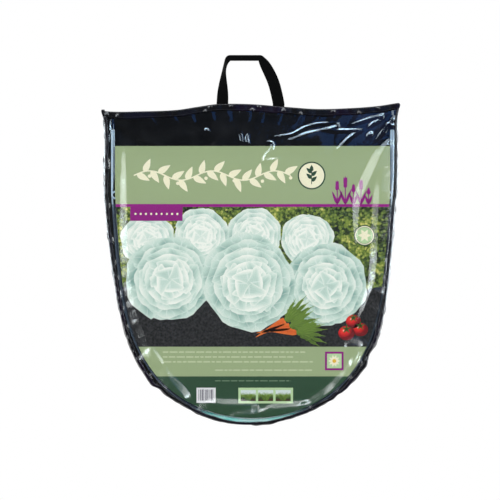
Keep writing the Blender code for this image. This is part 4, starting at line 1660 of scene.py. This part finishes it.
def make_leaf_ink(name, stops, vein, veins=7.0, vein_share=0.45):
    """Leaf print: deep at the foot, light round the edge, with a midrib and side veins."""
    paint = make_ink(name)
    u, v, tint = spot_axes(paint)
    side = paint.math("ABSOLUTE", v)
    tip = paint.spread(u, 0.0, 1.0, 0.7, 1.0)
    light = paint.either(tip, paint.times(paint.math("POWER", side, 4.0), 0.8))
    tone = paint.plus(paint.times(light, 0.5), paint.times(tint, 0.42))
    tone = paint.plus(tone, paint.times(paint.noise(90.0), 0.12))
    slant = paint.minus(paint.times(u, veins), paint.times(side, 1.7))
    lines = paint.math("SINE", paint.times(slant, 2 * math.pi))
    thin = paint.times(paint.over(lines, 0.9), 0.6)
    midrib = paint.math("LESS_THAN", side, paint.times(paint.minus(1.15, u), 0.1))
    marks = paint.times(paint.either(thin, midrib), vein_share)
    paint.shade({"Base Color": paint.mix(marks, paint.ramp(tone, *stops), color_of(*vein))})
    return paint.material


def make_tomato_ink():
    paint = make_ink("tomato")
    u, v, tint = spot_axes(paint)
    du = paint.math("POWER", paint.plus(u, 0.35), 2.0)
    dv = paint.math("POWER", paint.minus(v, 0.35), 2.0)
    away = paint.math("SQRT", paint.plus(du, dv))
    paint.shade({"Base Color": paint.ramp(away, (0.0, (255, 226, 206)), (0.14, (238, 60, 42)),
                                          (0.6, (206, 24, 28)), (1.0, (122, 10, 18)))})
    return paint.material


def make_tile_ink():
    """A small garden view: sky, hedge and soil, a little different in each tile."""
    paint = make_ink("tile")
    u, v, tint = spot_axes(paint)
    level = paint.plus(paint.times(v, 0.5), paint.times(paint.noise(260.0), 0.5))
    paint.shade({"Base Color": paint.ramp(paint.plus(level, 0.25), (0.1, (70, 50, 34)), (0.3, (58, 84, 40)),
                                          (0.55, (120, 150, 70)), (0.8, (214, 226, 224)))})
    return paint.material


plain_inks = {
    "cream": cream,
    "dark_green": dark_green,
    "magenta": magenta,
    "pale_green": color_of(190, 220, 168),
    "yellow": color_of(236, 190, 60),
    "white": color_of(236, 236, 238),
    "ash": color_of(98, 94, 108),
    "rule": color_of(196, 208, 168),
    "pale_rule": color_of(106, 134, 104),
    "sprig": color_of(62, 96, 34),
}
green_stops = [(0.0, (38, 66, 22)), (1.0, (132, 168, 62))]
cabbage_stops = [(0.0, (84, 124, 114)), (0.2, (134, 172, 162)), (0.45, (196, 220, 208)),
                 (0.8, (246, 249, 240))]
carrot_stops = [(0.0, (214, 84, 28)), (1.0, (244, 138, 60))]


def make_inks():
    inks = {name: make_plain_ink(name, color) for name, color in plain_inks.items()}
    inks["cabbage"] = make_leaf_ink("cabbage", cabbage_stops, (240, 246, 240))
    inks["greens"] = make_leaf_ink("greens", green_stops, (170, 196, 96))
    inks["carrot"] = make_leaf_ink("carrot", carrot_stops, (190, 74, 24), 14.0, 0.35)
    inks["tomato"] = make_tomato_ink()
    inks["tile"] = make_tile_ink()
    return inks


def make_prints():
    print_header()
    print_picture()
    print_lower_bands()
    inks = make_inks()
    for name, sheet in prints.items():
        thing = piece("card_print_" + name, sheet["verts"], sheet["faces"], (inks[name], "printed_card"),
                      "card", smooth=False)
        spots = thing.data.attributes.new("spot", "FLOAT_VECTOR", "POINT")
        spots.data.foreach_set("vector", np.array(sheet["spots"], np.float32).ravel())


make_card()
make_prints()
